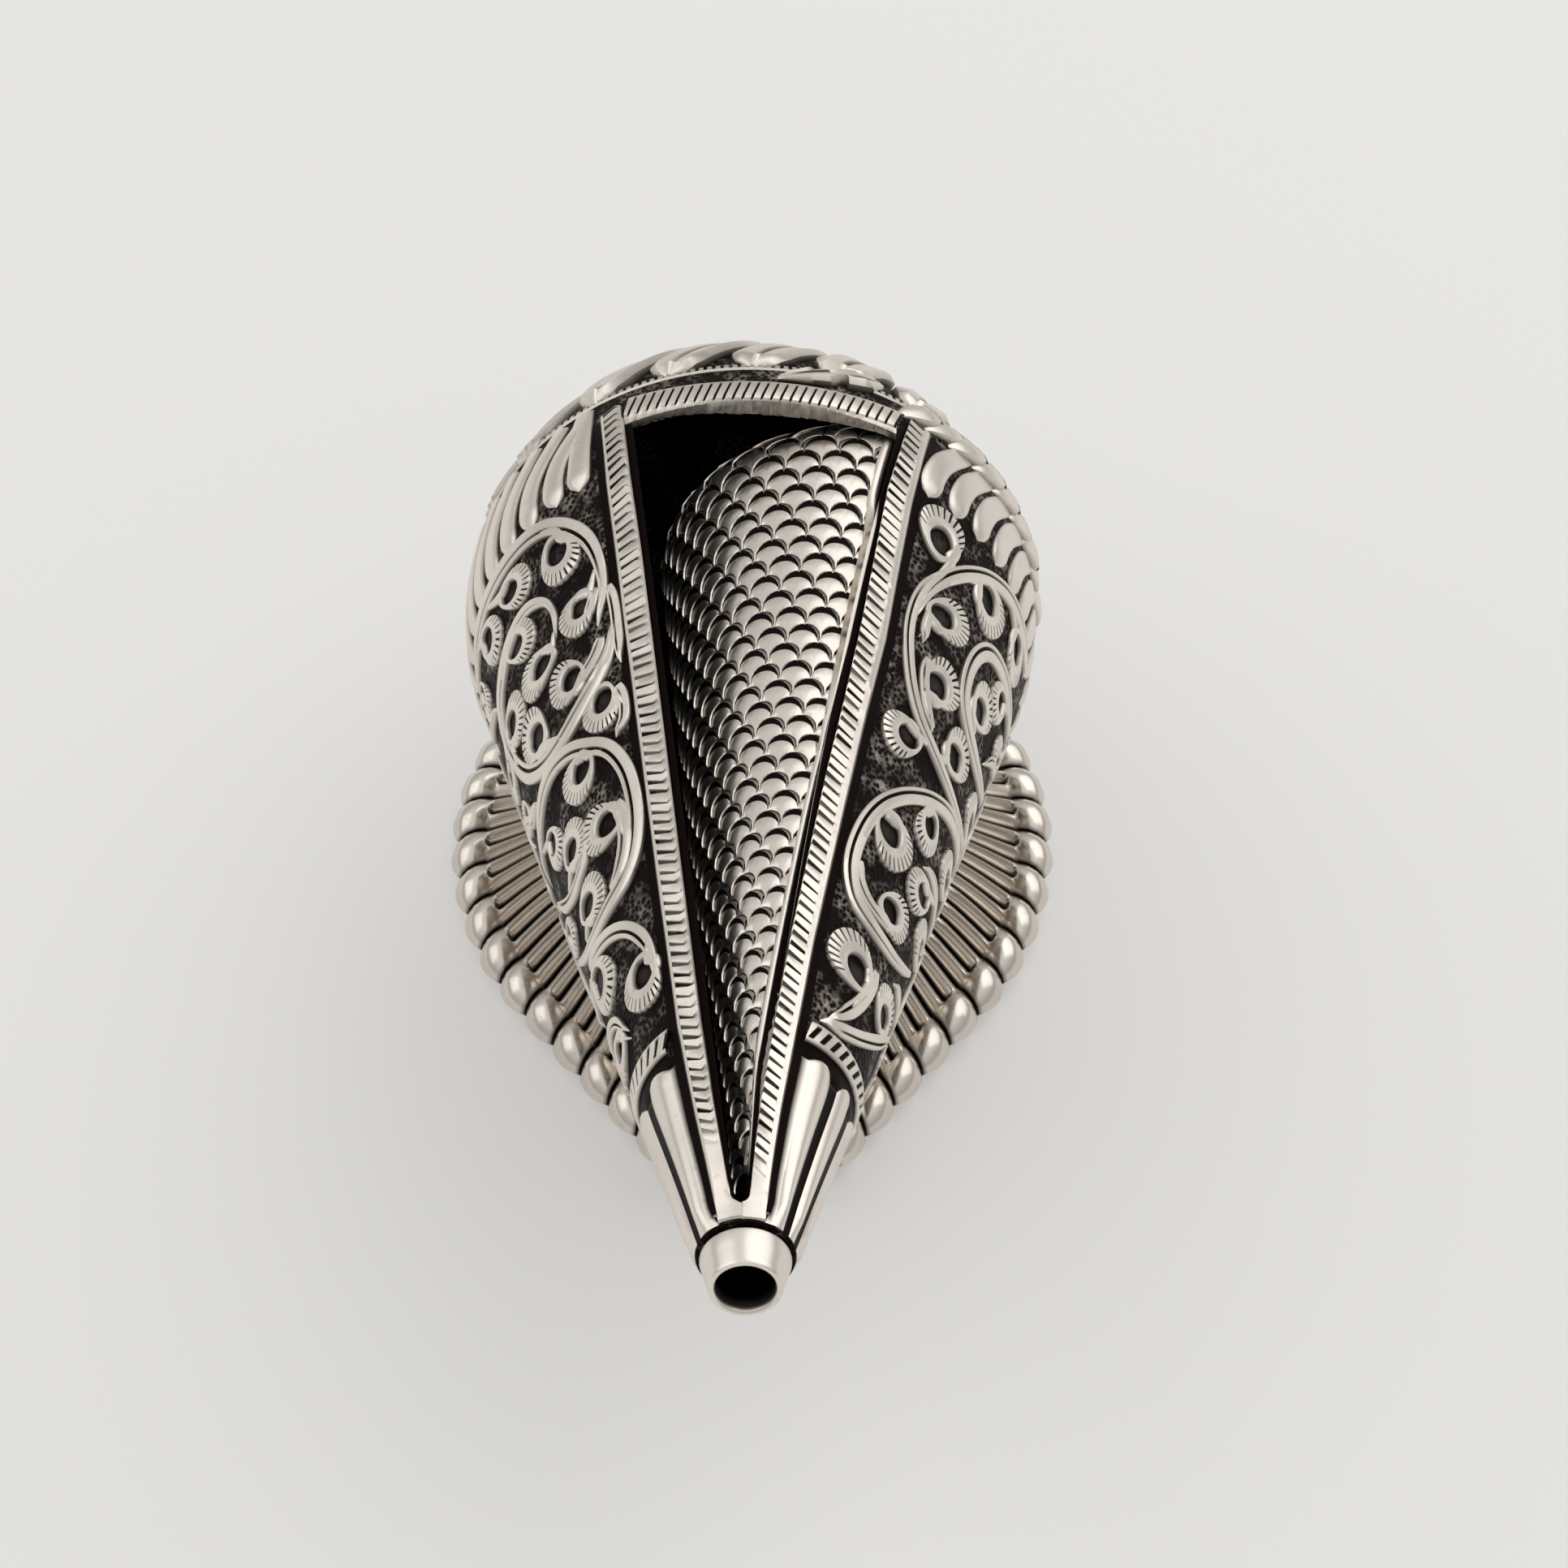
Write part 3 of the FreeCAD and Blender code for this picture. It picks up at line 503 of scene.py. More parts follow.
RIGHT_BUDS = (
    ((73.8, 25.5), -65, 6.6, 6.0, ((70.5, 28), (75, 29.6))),
    ((81, 20.6), 130, 5.8, 5.0, ((85, 18.6), (92, 17.2))),
    ((46.8, 39.9), 155, 6.0, 5.6, ((52, 38.4), (58, 38.1))),
    ((74.5, 53.6), 150, 6.6, 5.2, ((82, 51.3), (90, 50))),
    ((67.3, 46.8), 100, 5.8, 5.2, ((66.5, 44), (60, 44.8))),
    ((92, 34.4), 200, 6.2, 5.0, ((98, 35.5), (101, 37))),
    ((90, 45), 190, 6.0, 4.8, ((96, 43), (101, 40.5))),
    ((94.5, 22), 150, 5.6, 4.6, ((99, 19), (101, 16.5))),
    ((44.6, 12.4), -95, 7.2, 6.8, ((48.5, 15.2), (45.5, 18))),
    ((64, 14.6), 30, 7.0, 6.4, ((57.6, 13.6), (53, 15.4))),
    ((52, 21.8), -20, 7.6, 5.4, ((46, 23.6), (45.2, 26.5))),
    ((55.3, 30), -50, 7.0, 6.2, ((51, 33), (54, 35.6))),
    ((69.6, 34.8), -60, 6.6, 6.2, ((65.5, 37.2), (60, 38.2))),
    ((81, 12.9), 50, 6.8, 5.6, ((76, 11), (70, 9.9))),
    ((53, 52.6), 40, 7.0, 6.4, ((47.4, 50), (50.6, 47.6))),
    ((64, 60), -12, 6.4, 5.4, ((56.5, 61.6), (48, 61.6))),
    ((91, 56), 190, 6.2, 4.8, ((97, 55), (101, 52.5))),
    ((49.5, 69.5), -150, 7.6, 6.2, ((60.5, 70.8), (56, 74.2))),
    ((80.5, 69.6), -95, 5.8, 6.0, ((82, 72.2), (90, 71.4))),
)


# The fields of scrolls: name, stems, buds and degrees by which they are turned; those under the belly repeat the sides
SCROLLS = (
    ("scrolls_left", LEFT_STEMS, LEFT_BUDS, 0), ("scrolls_right", RIGHT_STEMS, RIGHT_BUDS, 0),
    ("scrolls_under_left", LEFT_STEMS, LEFT_BUDS, -70), ("scrolls_under_right", RIGHT_STEMS, RIGHT_BUDS, 68),
)
# How much of its listed width a stem takes up
STEM_SHARE = 0.8


def shifted(path, shift):
    """A path turned round the shell by some degrees."""
    return [(angle + shift, along) for angle, along in path]


def scroll(context, name, stems, buds, shift):
    """One field of scrolls and buds, turned round the shell by a shift."""
    height = context.scene.conch_sizes.relief / MM
    bm = new_mesh()
    for width, path in stems:
        strand(bm, shifted(path, shift), tapered(STEM_SHARE * width), low_ended(height), STEM)
    for at, turn, length, breadth, tail in buds:
        bud(bm, shifted([at], shift)[0], turn, length, breadth, shifted(tail, shift), height)
    finished(name, bm, CHASED)


# Materials


def add(tree, kind, inputs=None, **settings):
    """Adds a node with its settings; an input is a value or another node's output."""
    node = tree.nodes.new(kind)
    for key, value in settings.items():
        setattr(node, key, value)
    for socket, value in (inputs or {}).items():
        if isinstance(value, bpy.types.NodeSocket):
            tree.links.new(value, node.inputs[socket])
        else:
            node.inputs[socket].default_value = value
    return node


def new_material(name):
    """An empty material and its tree."""
    material = bpy.data.materials.new(name)
    material.use_nodes = True
    material.node_tree.nodes.clear()
    return material, material.node_tree


def per_mm(millimetres):
    """A texture scale that repeats about once in so many millimetres."""
    return 1 / (millimetres * MM)


def rgba(colour):
    """A linear colour as a socket takes it."""
    return (*colour, 1.0)


CHASED = "silver_chased_and_rubbed"
RAISED = "silver_raised_and_burnished"
CAST = "silver_cast_and_tarnished"
GROUND = "silver_blackened_and_stippled"
FLOOR = "paper_matt_white"


def silver(name, polished, tarnish_and_shade, rough, cloud, work):
    """Silver worked by hand: bright where it was rubbed, dark where the corners' darkness says, which is real
    blackening in the lines and hollows and painted shade in the mouth, its slit and the ferrule's bore; with a faint
    warm clouding from handling and the small waves that the tools leave."""
    material, tree = new_material(name)
    where = add(tree, "ShaderNodeTexCoord").outputs["Object"]
    patina_and_shade = add(tree, "ShaderNodeAttribute", attribute_name="patina_and_shade").outputs["Fac"]
    clouds = add(tree, "ShaderNodeTexNoise", {"Vector": where, "Scale": per_mm(9), "Detail": 5.0, "Roughness": 0.6})
    specks = add(tree, "ShaderNodeTexNoise", {"Vector": where, "Scale": per_mm(0.9), "Detail": 3.0})
    waves = add(tree, "ShaderNodeTexNoise", {"Vector": where, "Scale": per_mm(2.2), "Detail": 2.0})
    dull = add(tree, "ShaderNodeMapRange", {
        "Value": clouds.outputs["Fac"], "From Min": 0.45, "From Max": 0.75, "To Min": 0.0, "To Max": cloud})
    speck = add(tree, "ShaderNodeMapRange", {
        "Value": specks.outputs["Fac"], "From Min": 0.62, "From Max": 0.72, "To Min": 0.0, "To Max": cloud})
    soil = add(tree, "ShaderNodeMath", {0: dull.outputs["Result"], 1: speck.outputs["Result"]}, operation="ADD")
    # Clouding and specks, plus the corners' darkness, which holds real blackening and painted shade
    dark = add(tree, "ShaderNodeMath", {0: soil.outputs[0], 1: patina_and_shade}, operation="ADD", use_clamp=True)
    colour = add(tree, "ShaderNodeMix", {
        0: dark.outputs[0], "A": rgba(polished), "B": rgba(tarnish_and_shade)}, data_type="RGBA")
    rub = add(tree, "ShaderNodeMapRange", {
        "Value": dark.outputs[0], "From Min": 0.0, "From Max": 1.0, "To Min": rough, "To Max": 0.55})
    bump = add(tree, "ShaderNodeBump", {"Height": waves.outputs["Fac"], "Strength": work, "Distance": 0.15 * MM})
    shader = add(tree, "ShaderNodeBsdfPrincipled", {
        "Base Color": colour.outputs[2], "Metallic": 1.0, "Roughness": rub.outputs["Result"],
        "Normal": bump.outputs["Normal"]})
    add(tree, "ShaderNodeOutputMaterial", {"Surface": shader.outputs[0]})
    return material


def blackened(name, ground, glint):
    """Silver blackened with sulphur after punching: a matt dark ground whose punched rims are rubbed bright.
    The punch marks are drawn at 0.55 mm, a little coarser than they are, so that they show."""
    material, tree = new_material(name)
    where = add(tree, "ShaderNodeTexCoord").outputs["Object"]
    punch = add(tree, "ShaderNodeTexVoronoi", {"Vector": where, "Scale": per_mm(0.55)})
    patch = add(tree, "ShaderNodeTexNoise", {"Vector": where, "Scale": per_mm(3.5), "Detail": 4.0})
    rim = add(tree, "ShaderNodeMapRange", {
        "Value": punch.outputs["Distance"], "From Min": 0.4, "From Max": 0.8, "To Min": 0.0, "To Max": 1.0})
    worn = add(tree, "ShaderNodeMapRange", {
        "Value": patch.outputs["Fac"], "From Min": 0.45, "From Max": 0.75, "To Min": 0.0, "To Max": 1.0})
    share = add(tree, "ShaderNodeMath", {0: rim.outputs["Result"], 1: worn.outputs["Result"]}, operation="MULTIPLY")
    colour = add(tree, "ShaderNodeMix", {
        0: share.outputs[0], "A": rgba(ground), "B": rgba(glint)}, data_type="RGBA")
    bump = add(tree, "ShaderNodeBump", {
        "Height": punch.outputs["Distance"], "Strength": 0.9, "Distance": 0.25 * MM})
    shader = add(tree, "ShaderNodeBsdfPrincipled", {
        "Base Color": colour.outputs[2], "Metallic": share.outputs[0], "Roughness": 0.5, "Specular IOR Level": 0.04,
        "Normal": bump.outputs["Normal"]})
    add(tree, "ShaderNodeOutputMaterial", {"Surface": shader.outputs[0]})
    return material


def paper(name, colour):
    """Matt white background paper: even and pale, with the faintest mottling of its fibres. A third of what the
    camera and the reflections see of it shines by itself, which keeps it pale without more light on the silver."""
    material, tree = new_material(name)
    where = add(tree, "ShaderNodeTexCoord").outputs["Object"]
    fibres = add(tree, "ShaderNodeTexNoise", {"Vector": where, "Scale": per_mm(1.2), "Detail": 3.0})
    bump = add(tree, "ShaderNodeBump", {"Height": fibres.outputs["Fac"], "Strength": 0.02, "Distance": 0.1 * MM})
    shader = add(tree, "ShaderNodeBsdfPrincipled", {
        "Base Color": rgba(colour), "Roughness": 0.75, "Normal": bump.outputs["Normal"]})
    seen = add(tree, "ShaderNodeLightPath")
    mirrored = add(tree, "ShaderNodeMath", {
        0: seen.outputs["Is Camera Ray"], 1: seen.outputs["Is Glossy Ray"]}, operation="ADD")
    through = add(tree, "ShaderNodeMath", {
        0: mirrored.outputs[0], 1: seen.outputs["Is Transmission Ray"]}, operation="ADD", use_clamp=True)
    share = add(tree, "ShaderNodeMath", {0: through.outputs[0], 1: 0.33}, operation="MULTIPLY")
    glow = add(tree, "ShaderNodeEmission", {"Color": rgba(colour), "Strength": 1.0})
    both = add(tree, "ShaderNodeMixShader", {0: share.outputs[0], 1: shader.outputs[0], 2: glow.outputs[0]})
    add(tree, "ShaderNodeOutputMaterial", {"Surface": both.outputs[0]})
    return material


def dress(node, material):
    """Puts a material on a solid that stays in view."""
    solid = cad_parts[node]
    if not solid.material_slots:
        solid.data.materials.append(material)
    for slot in solid.material_slots:
        slot.material = material


# Operators


class CONCH_OT_finishes(bpy.types.Operator):
    """Makes the materials and puts them on the solids that stay in view"""

    bl_idname = "conch.finishes"
    bl_label = "Silver finishes"

    def execute(self, context):
        colours = context.scene.conch_finishes
        silver(CHASED, colours.polished, colours.tarnish_and_shade, rough=0.34, cloud=0.12, work=0.3)
        raised = silver(RAISED, colours.polished, colours.tarnish_and_shade, rough=0.31, cloud=0.1, work=0.15)
        cast = silver(CAST, colours.cast, colours.cast_tarnish, rough=0.24, cloud=0.12, work=0.15)
        ground = blackened(GROUND, colours.ground, colours.glint)
        paper(FLOOR, colours.floor)
        for node in ("shell_wall", "spout_sleeve", "spire_whorl_1", "spire_whorl_2", "spire_whorl_3"):
            dress(node, ground)
        dress("columella", raised)
        for node in ("stand_base_ring", "stand_seat"):
            dress(node, cast)
        return {"FINISHED"}


class CONCH_OT_scrolls(bpy.types.Operator):
    """Lays the chased scrolls and buds round the shell"""

    bl_idname = "conch.scrolls"
    bl_label = "Chased scrolls"

    def execute(self, context):
        for name, stems, buds, shift in SCROLLS:
            scroll(context, name, stems, buds, shift)
        return {"FINISHED"}


# A lobe of the shoulder: its path as degrees of lean and distance along, the angles of the first and the last one,
# half its width, its height, how much of its length its round head takes, and its room beside the left strip
LOBE = ((0, 8.6), (0.2, 5.8), (1.8, 3.1), (4.2, 1.0), (7.5, -1.4), (10, -3.6))
LOBES_FROM, LOBES_TO = 39.6, 324.0
LOBE_HALF, LOBE_HEIGHT, LOBE_HEAD, LOBE_ROOM = 1.7, 0.55, 0.16, 0.85


class CONCH_OT_shoulder(bpy.types.Operator):
    """Sets the row of curved lobes round the shoulder"""

    bl_idname = "conch.shoulder"
    bl_label = "Shoulder lobes"

    def execute(self, context):
        count = context.scene.conch_sizes.lobe_count
        bm = new_mesh()

        def half_width(share):
            bulb = math.sqrt(max(1 - (1 - share / LOBE_HEAD) ** 2, 0)) if share < LOBE_HEAD else 1
            return max(0.03, LOBE_HALF * bulb * (1 - 0.25 * share))

        def height(share):
            return LOBE_HEIGHT * min(1, 0.05 + math.sqrt(share / 0.12)) * (1 - 0.3 * share)

        def limit(along):
            """The angle at which the lobes stop short of the left strip."""
            return 360 + lip_angle("left", max(along, MOUTH_TOP), LOBE_ROOM) - 2.6 - 0.25 * max(along, 0)

        for number in range(count):
            angle = LOBES_FROM + (LOBES_TO - LOBES_FROM) * number / (count - 1)
            path = [(min(angle + lean, limit(along)), along) for lean, along in LOBE]
            strand(bm, path, half_width, height, PLAIN, 0.55)
        finished("shoulder_lobes", bm, CHASED)
        return {"FINISHED"}


# Steps of one nick in a strip: ridge, edge, nick, edge; and of the narrow end of a wedge-shaped nick
NICK_STEPS = (0.0, 0.52, 0.58, 0.92)
WEDGE_STEPS = (0.0, 0.70, 0.73, 0.84)
# How deep the nicks are: of the side strips as a share of their height, and of the top strip, collar and band
SIDE_NICK, TOP_NICK, COLLAR_NICK, BAND_NICK = 0.2, 0.35, 0.18, 0.3
# Middle and reach of the top strip's bow, from the middle plane
TOP_MIDDLE, TOP_REACH = 3, 14.5
# Where the strips start, where their nicks fade out towards the spout, and where the strips sink to a plain band
# and end, how high they still are there, and in how many rows they run out after the last nick
LIPS_START = -1.7
NICKS_END = {"left": 95.0, "right": 99.5}
LIPS_SINK, LIPS_END, LIPS_REST, LIPS_RUN_OUT = 98.0, 102.9, 0.3, 26


class CONCH_OT_lips(bpy.types.Operator):
    """Makes the three hatched strips round the mouth"""

    bl_idname = "conch.lips"
    bl_label = "Hatched lips"

    def execute(self, context):
        sizes = context.scene.conch_sizes
        # Sections from the mouth's edge, which None stands for, to the nicks: share across, lift, darkness. The mouth's
        # edge, its wall down into the mouth and the gap beside the strip are painted black, and grey on the right wall
        # and ledge, as the shade between lip and roll
        self.side_strip(sizes, "left", (
            (None, -WALL, 1.0), (None, 0.05, 1.0), (-0.01, 0.05, 1.0), (0.0, 0.6, 0.3), (0.08, 0.95, 0.0)),
            (0.28, 0.86), 3)
        self.side_strip(sizes, "right", (
            (None, -WALL, 0.3), (None, 0.07, 0.1), (None, 0.07, 0.1), (None, 0.05, 1.0), (0.0, 0.05, 1.0),
            (0.005, 0.75, 0.2), (0.03, 0.95, 0.0)), (0.06, 0.72), 8)
        self.top_strip(sizes)
        return {"FINISHED"}

    @staticmethod
    def slant(side, along):
        """How far a nick leans along the strip over its width: the hand turned over on the way down the left one."""
        return 1.2 if side == "right" else 1.7 - 2.7 * eased(along, 12, 48)

    def side_strip(self, sizes, side, inner, nicked, seed):
        """One strip along the mouth. The nicks are wedges cut by hand from one edge: wide there, and pointed at
        uneven depths."""
        tall, pitch = sizes.lip_height / MM, sizes.hatch_pitch / MM
        stations = [(share, lift * (tall if lift > 0 else 1), dark, False) for share, lift, dark in inner]
        point = len(inner) if side == "left" else len(inner) + 1
        stations += [(nicked[0], tall, 0.0, True), (nicked[1], tall, 0.0, True)]
        stations += [
            (nicked[1] + 0.02, tall, 0.0, False), (0.96, 0.92 * tall, 0.0, False), (0.99, 0.6 * tall, 0.2, False),
            (1.0, 0.06, 1.0, False), (1.0, 0.05, 1.0, False)]
        outside = len(stations) - 1
        count = int((NICKS_END[side] - LIPS_START) / pitch)
        hand = random.Random(seed)
        uneven = [
            (hand.uniform(-0.14, 0.14), hand.uniform(-0.1, 0.1), hand.uniform(0.75, 1)) for _ in range(count + 1)]
        sign = -1 if side == "left" else 1
        middle = sign * (SLIT_RIGHT - SLIT_LEFT) / 2
        nicks, last = 4 * count, 4 * count + LIPS_RUN_OUT
        bm = new_mesh()

        def place(column, row):
            share, lift, dark, nick = stations[column]
            number, step = divmod(min(row, nicks), 4)
            shift, depth, force = uneven[number]
            steps = WEDGE_STEPS if column == point else NICK_STEPS
            along = LIPS_START + pitch * (number + steps[step] + (shift if step and column >= len(inner) else 0))
            fade = eased(along, NICKS_END[side], NICKS_END[side] - 4)
            if nick:
                share += depth * (1 if column == point else 0.3)
            if nick and step in IN_NICK:
                lift, dark = lift - SIDE_NICK * tall * fade, fade * force
            if column >= len(inner):
                along += self.slant(side, along) * (share - 0.5)
            along = max(along, LIPS_START)
            along += (LIPS_END - along) * max(0, row - nicks) / LIPS_RUN_OUT
            # The mouth's end and the channel's end rise to the plain band that the strip sinks to
            if lift > 0.1 and share is not None:
                rise = eased(along, LIPS_SINK, MOUTH_END)
            elif column < len(inner):
                rise = eased(along, MOUTH_END - 0.3, MOUTH_END + 0.4)
                # The painted shade at the mouth's edge fades as the slit closes
                dark *= 1 - rise
            else:
                rise = eased(along, CHANNEL_END - 0.1, CHANNEL_END + 0.2)
            lift += (LIPS_REST - lift) * rise
            dark *= eased(along, CHANNEL_END, CHANNEL_END - 0.3)
            if row in (0, last):
                lift = min(lift, -0.05 if row == 0 else -0.6)
            near, far = strip(side, along)
            if share is None:
                ledge = 0.3 * climbed(along)
                across = min(near, sign * mouth_edge(side, along) + (0, 0, ledge, ledge + 0.05)[column])
                # Near the top, until the roll's border climbs to the skin, the mouth's edge is painted black as shade
                dark = max(dark, 1 - eased(along, *CLIMB))
            else:
                across = near + (far - near) * share
            if column == outside:
                across += channel(side, along) + 0.05
            shut = 1 - math.sqrt(1 - eased(along, MOUTH_END - 0.6, MOUTH_END + 0.3) ** 2)
            across += (middle - (across if share is None else near)) * shut * max(0, 1 - 1.2 * (share or 0))
            return plan_point(sign * across, along, lift), dark

        sheet(bm, len(stations) - 1, last, place)
        finished(f"hatched_lip_{side}", bm, CHASED, f"lip_{side}")

    def top_strip(self, sizes):
        """The milled strip over the mouth and the rough grey cut edge below it, deepest in its middle."""
        tall, pitch = sizes.lip_height / MM, sizes.milling_pitch / MM
        left, right = -strip("left", MOUTH_TOP)[0], strip("right", MOUTH_TOP)[0]
        # Section from the cut edge inside the mouth to the back: distance from the front, lift, tarnish, in a nick
        stations = (
            (-0.3, -1.75, 0.6, False), (0.0, -1.55, 0.5, False), (0.04, -0.7, 0.4, False), (0.0, 0.25, 0.35, False),
            (-0.04, 0.5, 0.1, False), (-0.16, 0.85, 0.0, True), (-0.5, 1.0, 0.0, True), (-2.9, 1.0, 0.0, True),
            (-3.1, 0.9, 0.05, False), (-3.3, 0.0, 0.9, False),
        )
        count = int((right - left) / pitch)
        hand = random.Random(5)
        bm = new_mesh()

        def place(column, row):
            back, lift, dark, nick = stations[column]
            number, step = divmod(row, 4)
            x = min(max(left + pitch * (number + WEDGE_STEPS[step]) - 0.3 * back - 0.4, left), right)
            bow = 1 - ((x - TOP_MIDDLE) / TOP_REACH) ** 2
            along = MOUTH_TOP + 0.2 - (0.7 * (1 - bow) if column > 3 else 0.0) + back
            if nick and step in IN_NICK:
                lift, dark = lift - TOP_NICK, 1.0
            if column < 4:
                dark += hand.uniform(-0.2, 0.2)
                along += hand.uniform(-0.05, 0.05)
                lift += hand.uniform(-0.12, 0.12) if column < 2 else 0.0
            lift *= tall if lift > 0 else max(bow, 0.4)
            return plan_point(x, along, lift), dark

        sheet(bm, len(stations) - 1, 4 * count, place)
        finished("milled_lip_top", bm, CHASED, "lip_top")


# The scales: where their first row lies, how much of its width a scale arches and its black crescent takes, its
# cells across, and the roll's own angles between which they lie
SCALES_START, SCALE_ARCH, SCALE_CRESCENT, SCALE_CELLS = -1.2, 0.47, 0.225, 12
SCALES_RIGHT, SCALES_LEFT = math.radians(66), math.radians(-105)
# The plain roll under them, painted grey and then black as the shade inside the mouth: its right edge, how far it goes
# on past the scales, and where its painted shade turns black
CORE_RIGHT, CORE_PAST, CORE_BLACK = math.radians(61), math.radians(50), 92


class CONCH_OT_scales(bpy.types.Operator):
    """Covers the roll inside the mouth with overlapping scales"""

    bl_idname = "conch.scales"
    bl_label = "Scaled roll"

    @staticmethod
    def roll_room(along):
        """Radius of the room that the roll lies in."""
        if along < ROLL_ROOM * math.sin(CONE):
            return math.sqrt(ROLL_ROOM**2 - max(along, 0) ** 2)
        return (ROLL_ROOM / math.sin(CONE) - along) * math.tan(CONE)

    @staticmethod
    def roll_share(along):
        """The roll's radius as a share of its room: it draws in towards the slit and rounds off under the shoulder."""
        rounding = max(ROLL_ROUND - along, 0) / ROLL_REST
        return (ROLL_SHARE - ROLL_DRAWN * eased(along, *ROLL_DRAWING)) * math.sqrt(max(1 - rounding**2, 0))

    def roll_point(self, turn, along, lift):
        """A place on the roll by its own angle in radians, clockwise from up."""
        room, part = self.roll_room(along), self.roll_share(along)
        out, radius = (1 - part) * room, part * room + lift
        return conch_point(
            out * math.sin(ROLL_LEAN) + radius * math.sin(turn), along,
            out * math.cos(ROLL_LEAN) + radius * math.cos(turn))

    def roll_turn(self, x, along):
        """The roll's own angle at a distance from the middle plane."""
        room, part = self.roll_room(along), max(self.roll_share(along), 0.01)
        share = (x - (1 - part) * room * math.sin(ROLL_LEAN)) / (part * room)
        return math.asin(min(max(share, -1), 1))

    def roll_hub(self, point):
        """The middle of the roll nearest to a point."""
        along = (point - AXIS_START).dot(AXIS_WAY) / MM
        out = (1 - self.roll_share(along)) * self.roll_room(along)
        return conch_point(out * math.sin(ROLL_LEAN), along, out * math.cos(ROLL_LEAN))

    def scale(self, bm, turn, along, width, row_step):
        """One scale: a low shield, round towards the shoulder, with a black crescent before its round edge."""
        radius = self.roll_share(along) * self.roll_room(along)
        arch, thick = SCALE_ARCH * width, SCALE_CRESCENT * width

        def arc(share):
            """How far a row's round edges, and their crescents, rise at a place across a scale."""
            return math.sqrt(max(1 - share**2, 0))

        def place(column, row):
            share = 2 * column / SCALE_CELLS - 1
            share *= (3 - 2 * abs(share)) * abs(share)
            tip = max(0, 1 - abs(share) / 0.25)
            top, below = -arch * arc(share), arc(1 - abs(share))
            low = max(row_step - arch * below - thick * below**0.5, top + 0.02)
            run, swell = low - top, 1 - 0.5 * share**2

            def face(off):
                """A place on the scale's face, which rises from its round edge towards its tip."""
                return off, swell * (0.11 + 0.14 * (off - top) / row_step), 0.0

            off, lift, dark = (
                (low, 0.05 + 0.12 * tip, 1 - tip), face(low - 0.08 * run), face(low - 0.5 * run),
                face(top + 0.05 * run), (top - 0.02, 0.05, 1.0), (top - thick * arc(share) ** 0.5 - 0.03, 0.04, 1.0),
            )[row]
            place_turn = min(turn + share * width / 2 / radius, self.border(along + off))
            return self.roll_point(place_turn, along + off, lift), dark

        sheet(bm, SCALE_CELLS, 5, place, self.roll_hub)

    def border(self, along):
        """The roll's own angle at the left edge of its plain border."""
        edge, border = self.channel_edge(along)
        return self.roll_turn(edge - border, along)

    @staticmethod
    def channel_edge(along):
        """Where the black channel beside the right strip starts, from the middle plane, and the width of the border."""
        edge = mouth_edge("right", max(along, MOUTH_TOP))
        edge -= 0.5 * (1 - eased(along, *CLIMB)) + 1.15 * eased(along, 46, 82) ** 0.7 - 0.85 * eased(along, 84, 98)
        return edge, min(0.95 - 0.35 * eased(along, 10, 65), max(0.35 * edge, 0.12))

    def execute(self, context):
        sizes = context.scene.conch_sizes
        row_step, full = sizes.scale_row / MM, sizes.scale_width / MM
        widest = self.roll_room(ROLL_ROOM * math.sin(CONE))
        bm = new_mesh()
        self.core(bm)
        row, along = 0, SCALES_START
        while along < ROLL_END - 2:
            radius = self.roll_share(along) * self.roll_room(along)
            width = full * (0.5 + 0.5 * self.roll_room(along) / widest)
            turn = SCALES_RIGHT - (0.5 + 0.5 * (row % 2)) * width / radius
            while turn > SCALES_LEFT:
                if turn - width / 2 / radius < self.border(along):
                    self.scale(bm, turn, along, width, row_step)
                turn -= width / radius
            row, along = row + 1, along + row_step
        self.margin(bm)
        finished("scaled_roll", bm, RAISED, "columella", slot="chased_silver")
        return {"FINISHED"}

    def core(self, bm):
        """The plain roll under the scales, closed behind by its dome and in front by a flat end, and painted in shade:
        grey, and black towards the spout.
        """
        rows = [ROLL_ROUND - ROLL_REST * math.sin(math.pi / 2 * (1 - step / 10)) for step in range(10)]
        rows += [ROLL_ROUND + (ROLL_END - ROLL_ROUND) * step / 30 for step in range(31)]
        across = 32

        def place(column, row):
            turn = CORE_RIGHT + (SCALES_LEFT - CORE_PAST - CORE_RIGHT) * column / across
            if row == len(rows):
                point = self.roll_point(turn, ROLL_END, 0)
                return self.roll_hub(point), 1.0
            # Painted shade: grey, and black towards the spout
            return self.roll_point(turn, rows[row], 0), 1.0 if rows[row] > CORE_BLACK else 0.6

        sheet(bm, across, len(rows), place, self.roll_hub)

    def margin(self, bm):
        """The plain border of the roll beside the right strip and the channel between them, painted black as the shade
        of the gap; towards the slit's end the border is painted black as shade too.
        """
        rows = [-0.5 + (ROLL_END - 1.5) * step / 60 for step in range(61)]

        def place(column, row):
            along = rows[row]
            edge, border = self.channel_edge(along)
            inside = mouth_edge("right", max(along, MOUTH_TOP)) + 0.8 - edge
            # Over its upper half the border climbs to the shell's skin, and the channel starts beyond it
            climb = climbed(along)
            off, lift, dark, risen = (
                (-border - 0.1, 0.1, 0.1, 0), (-border, 0.22, 0.0, 0), (-0.6 * border, 0.32, 0.0, 0.3),
                (-0.25 * border, 0.3, 0.0, 0.7), (-0.02, 0.2, 0.3, 1), (0.0, 0.06, 1.0, 1),
                (inside, 0.06, 1.0, 1))[column]
            spot = self.roll_point(self.roll_turn(edge + off, along), along, lift)
            skin = plan_point(edge + min(off, 0.25), along, 0.06 if off < 0.1 else -0.1)
            # Where the border climbs, its painted shade goes; towards the slit's end all of it is painted black as
            # shade
            dark = max(dark * (1 - climb * risen), eased(along, 91, 97))
            return spot.lerp(skin, climb * risen), dark

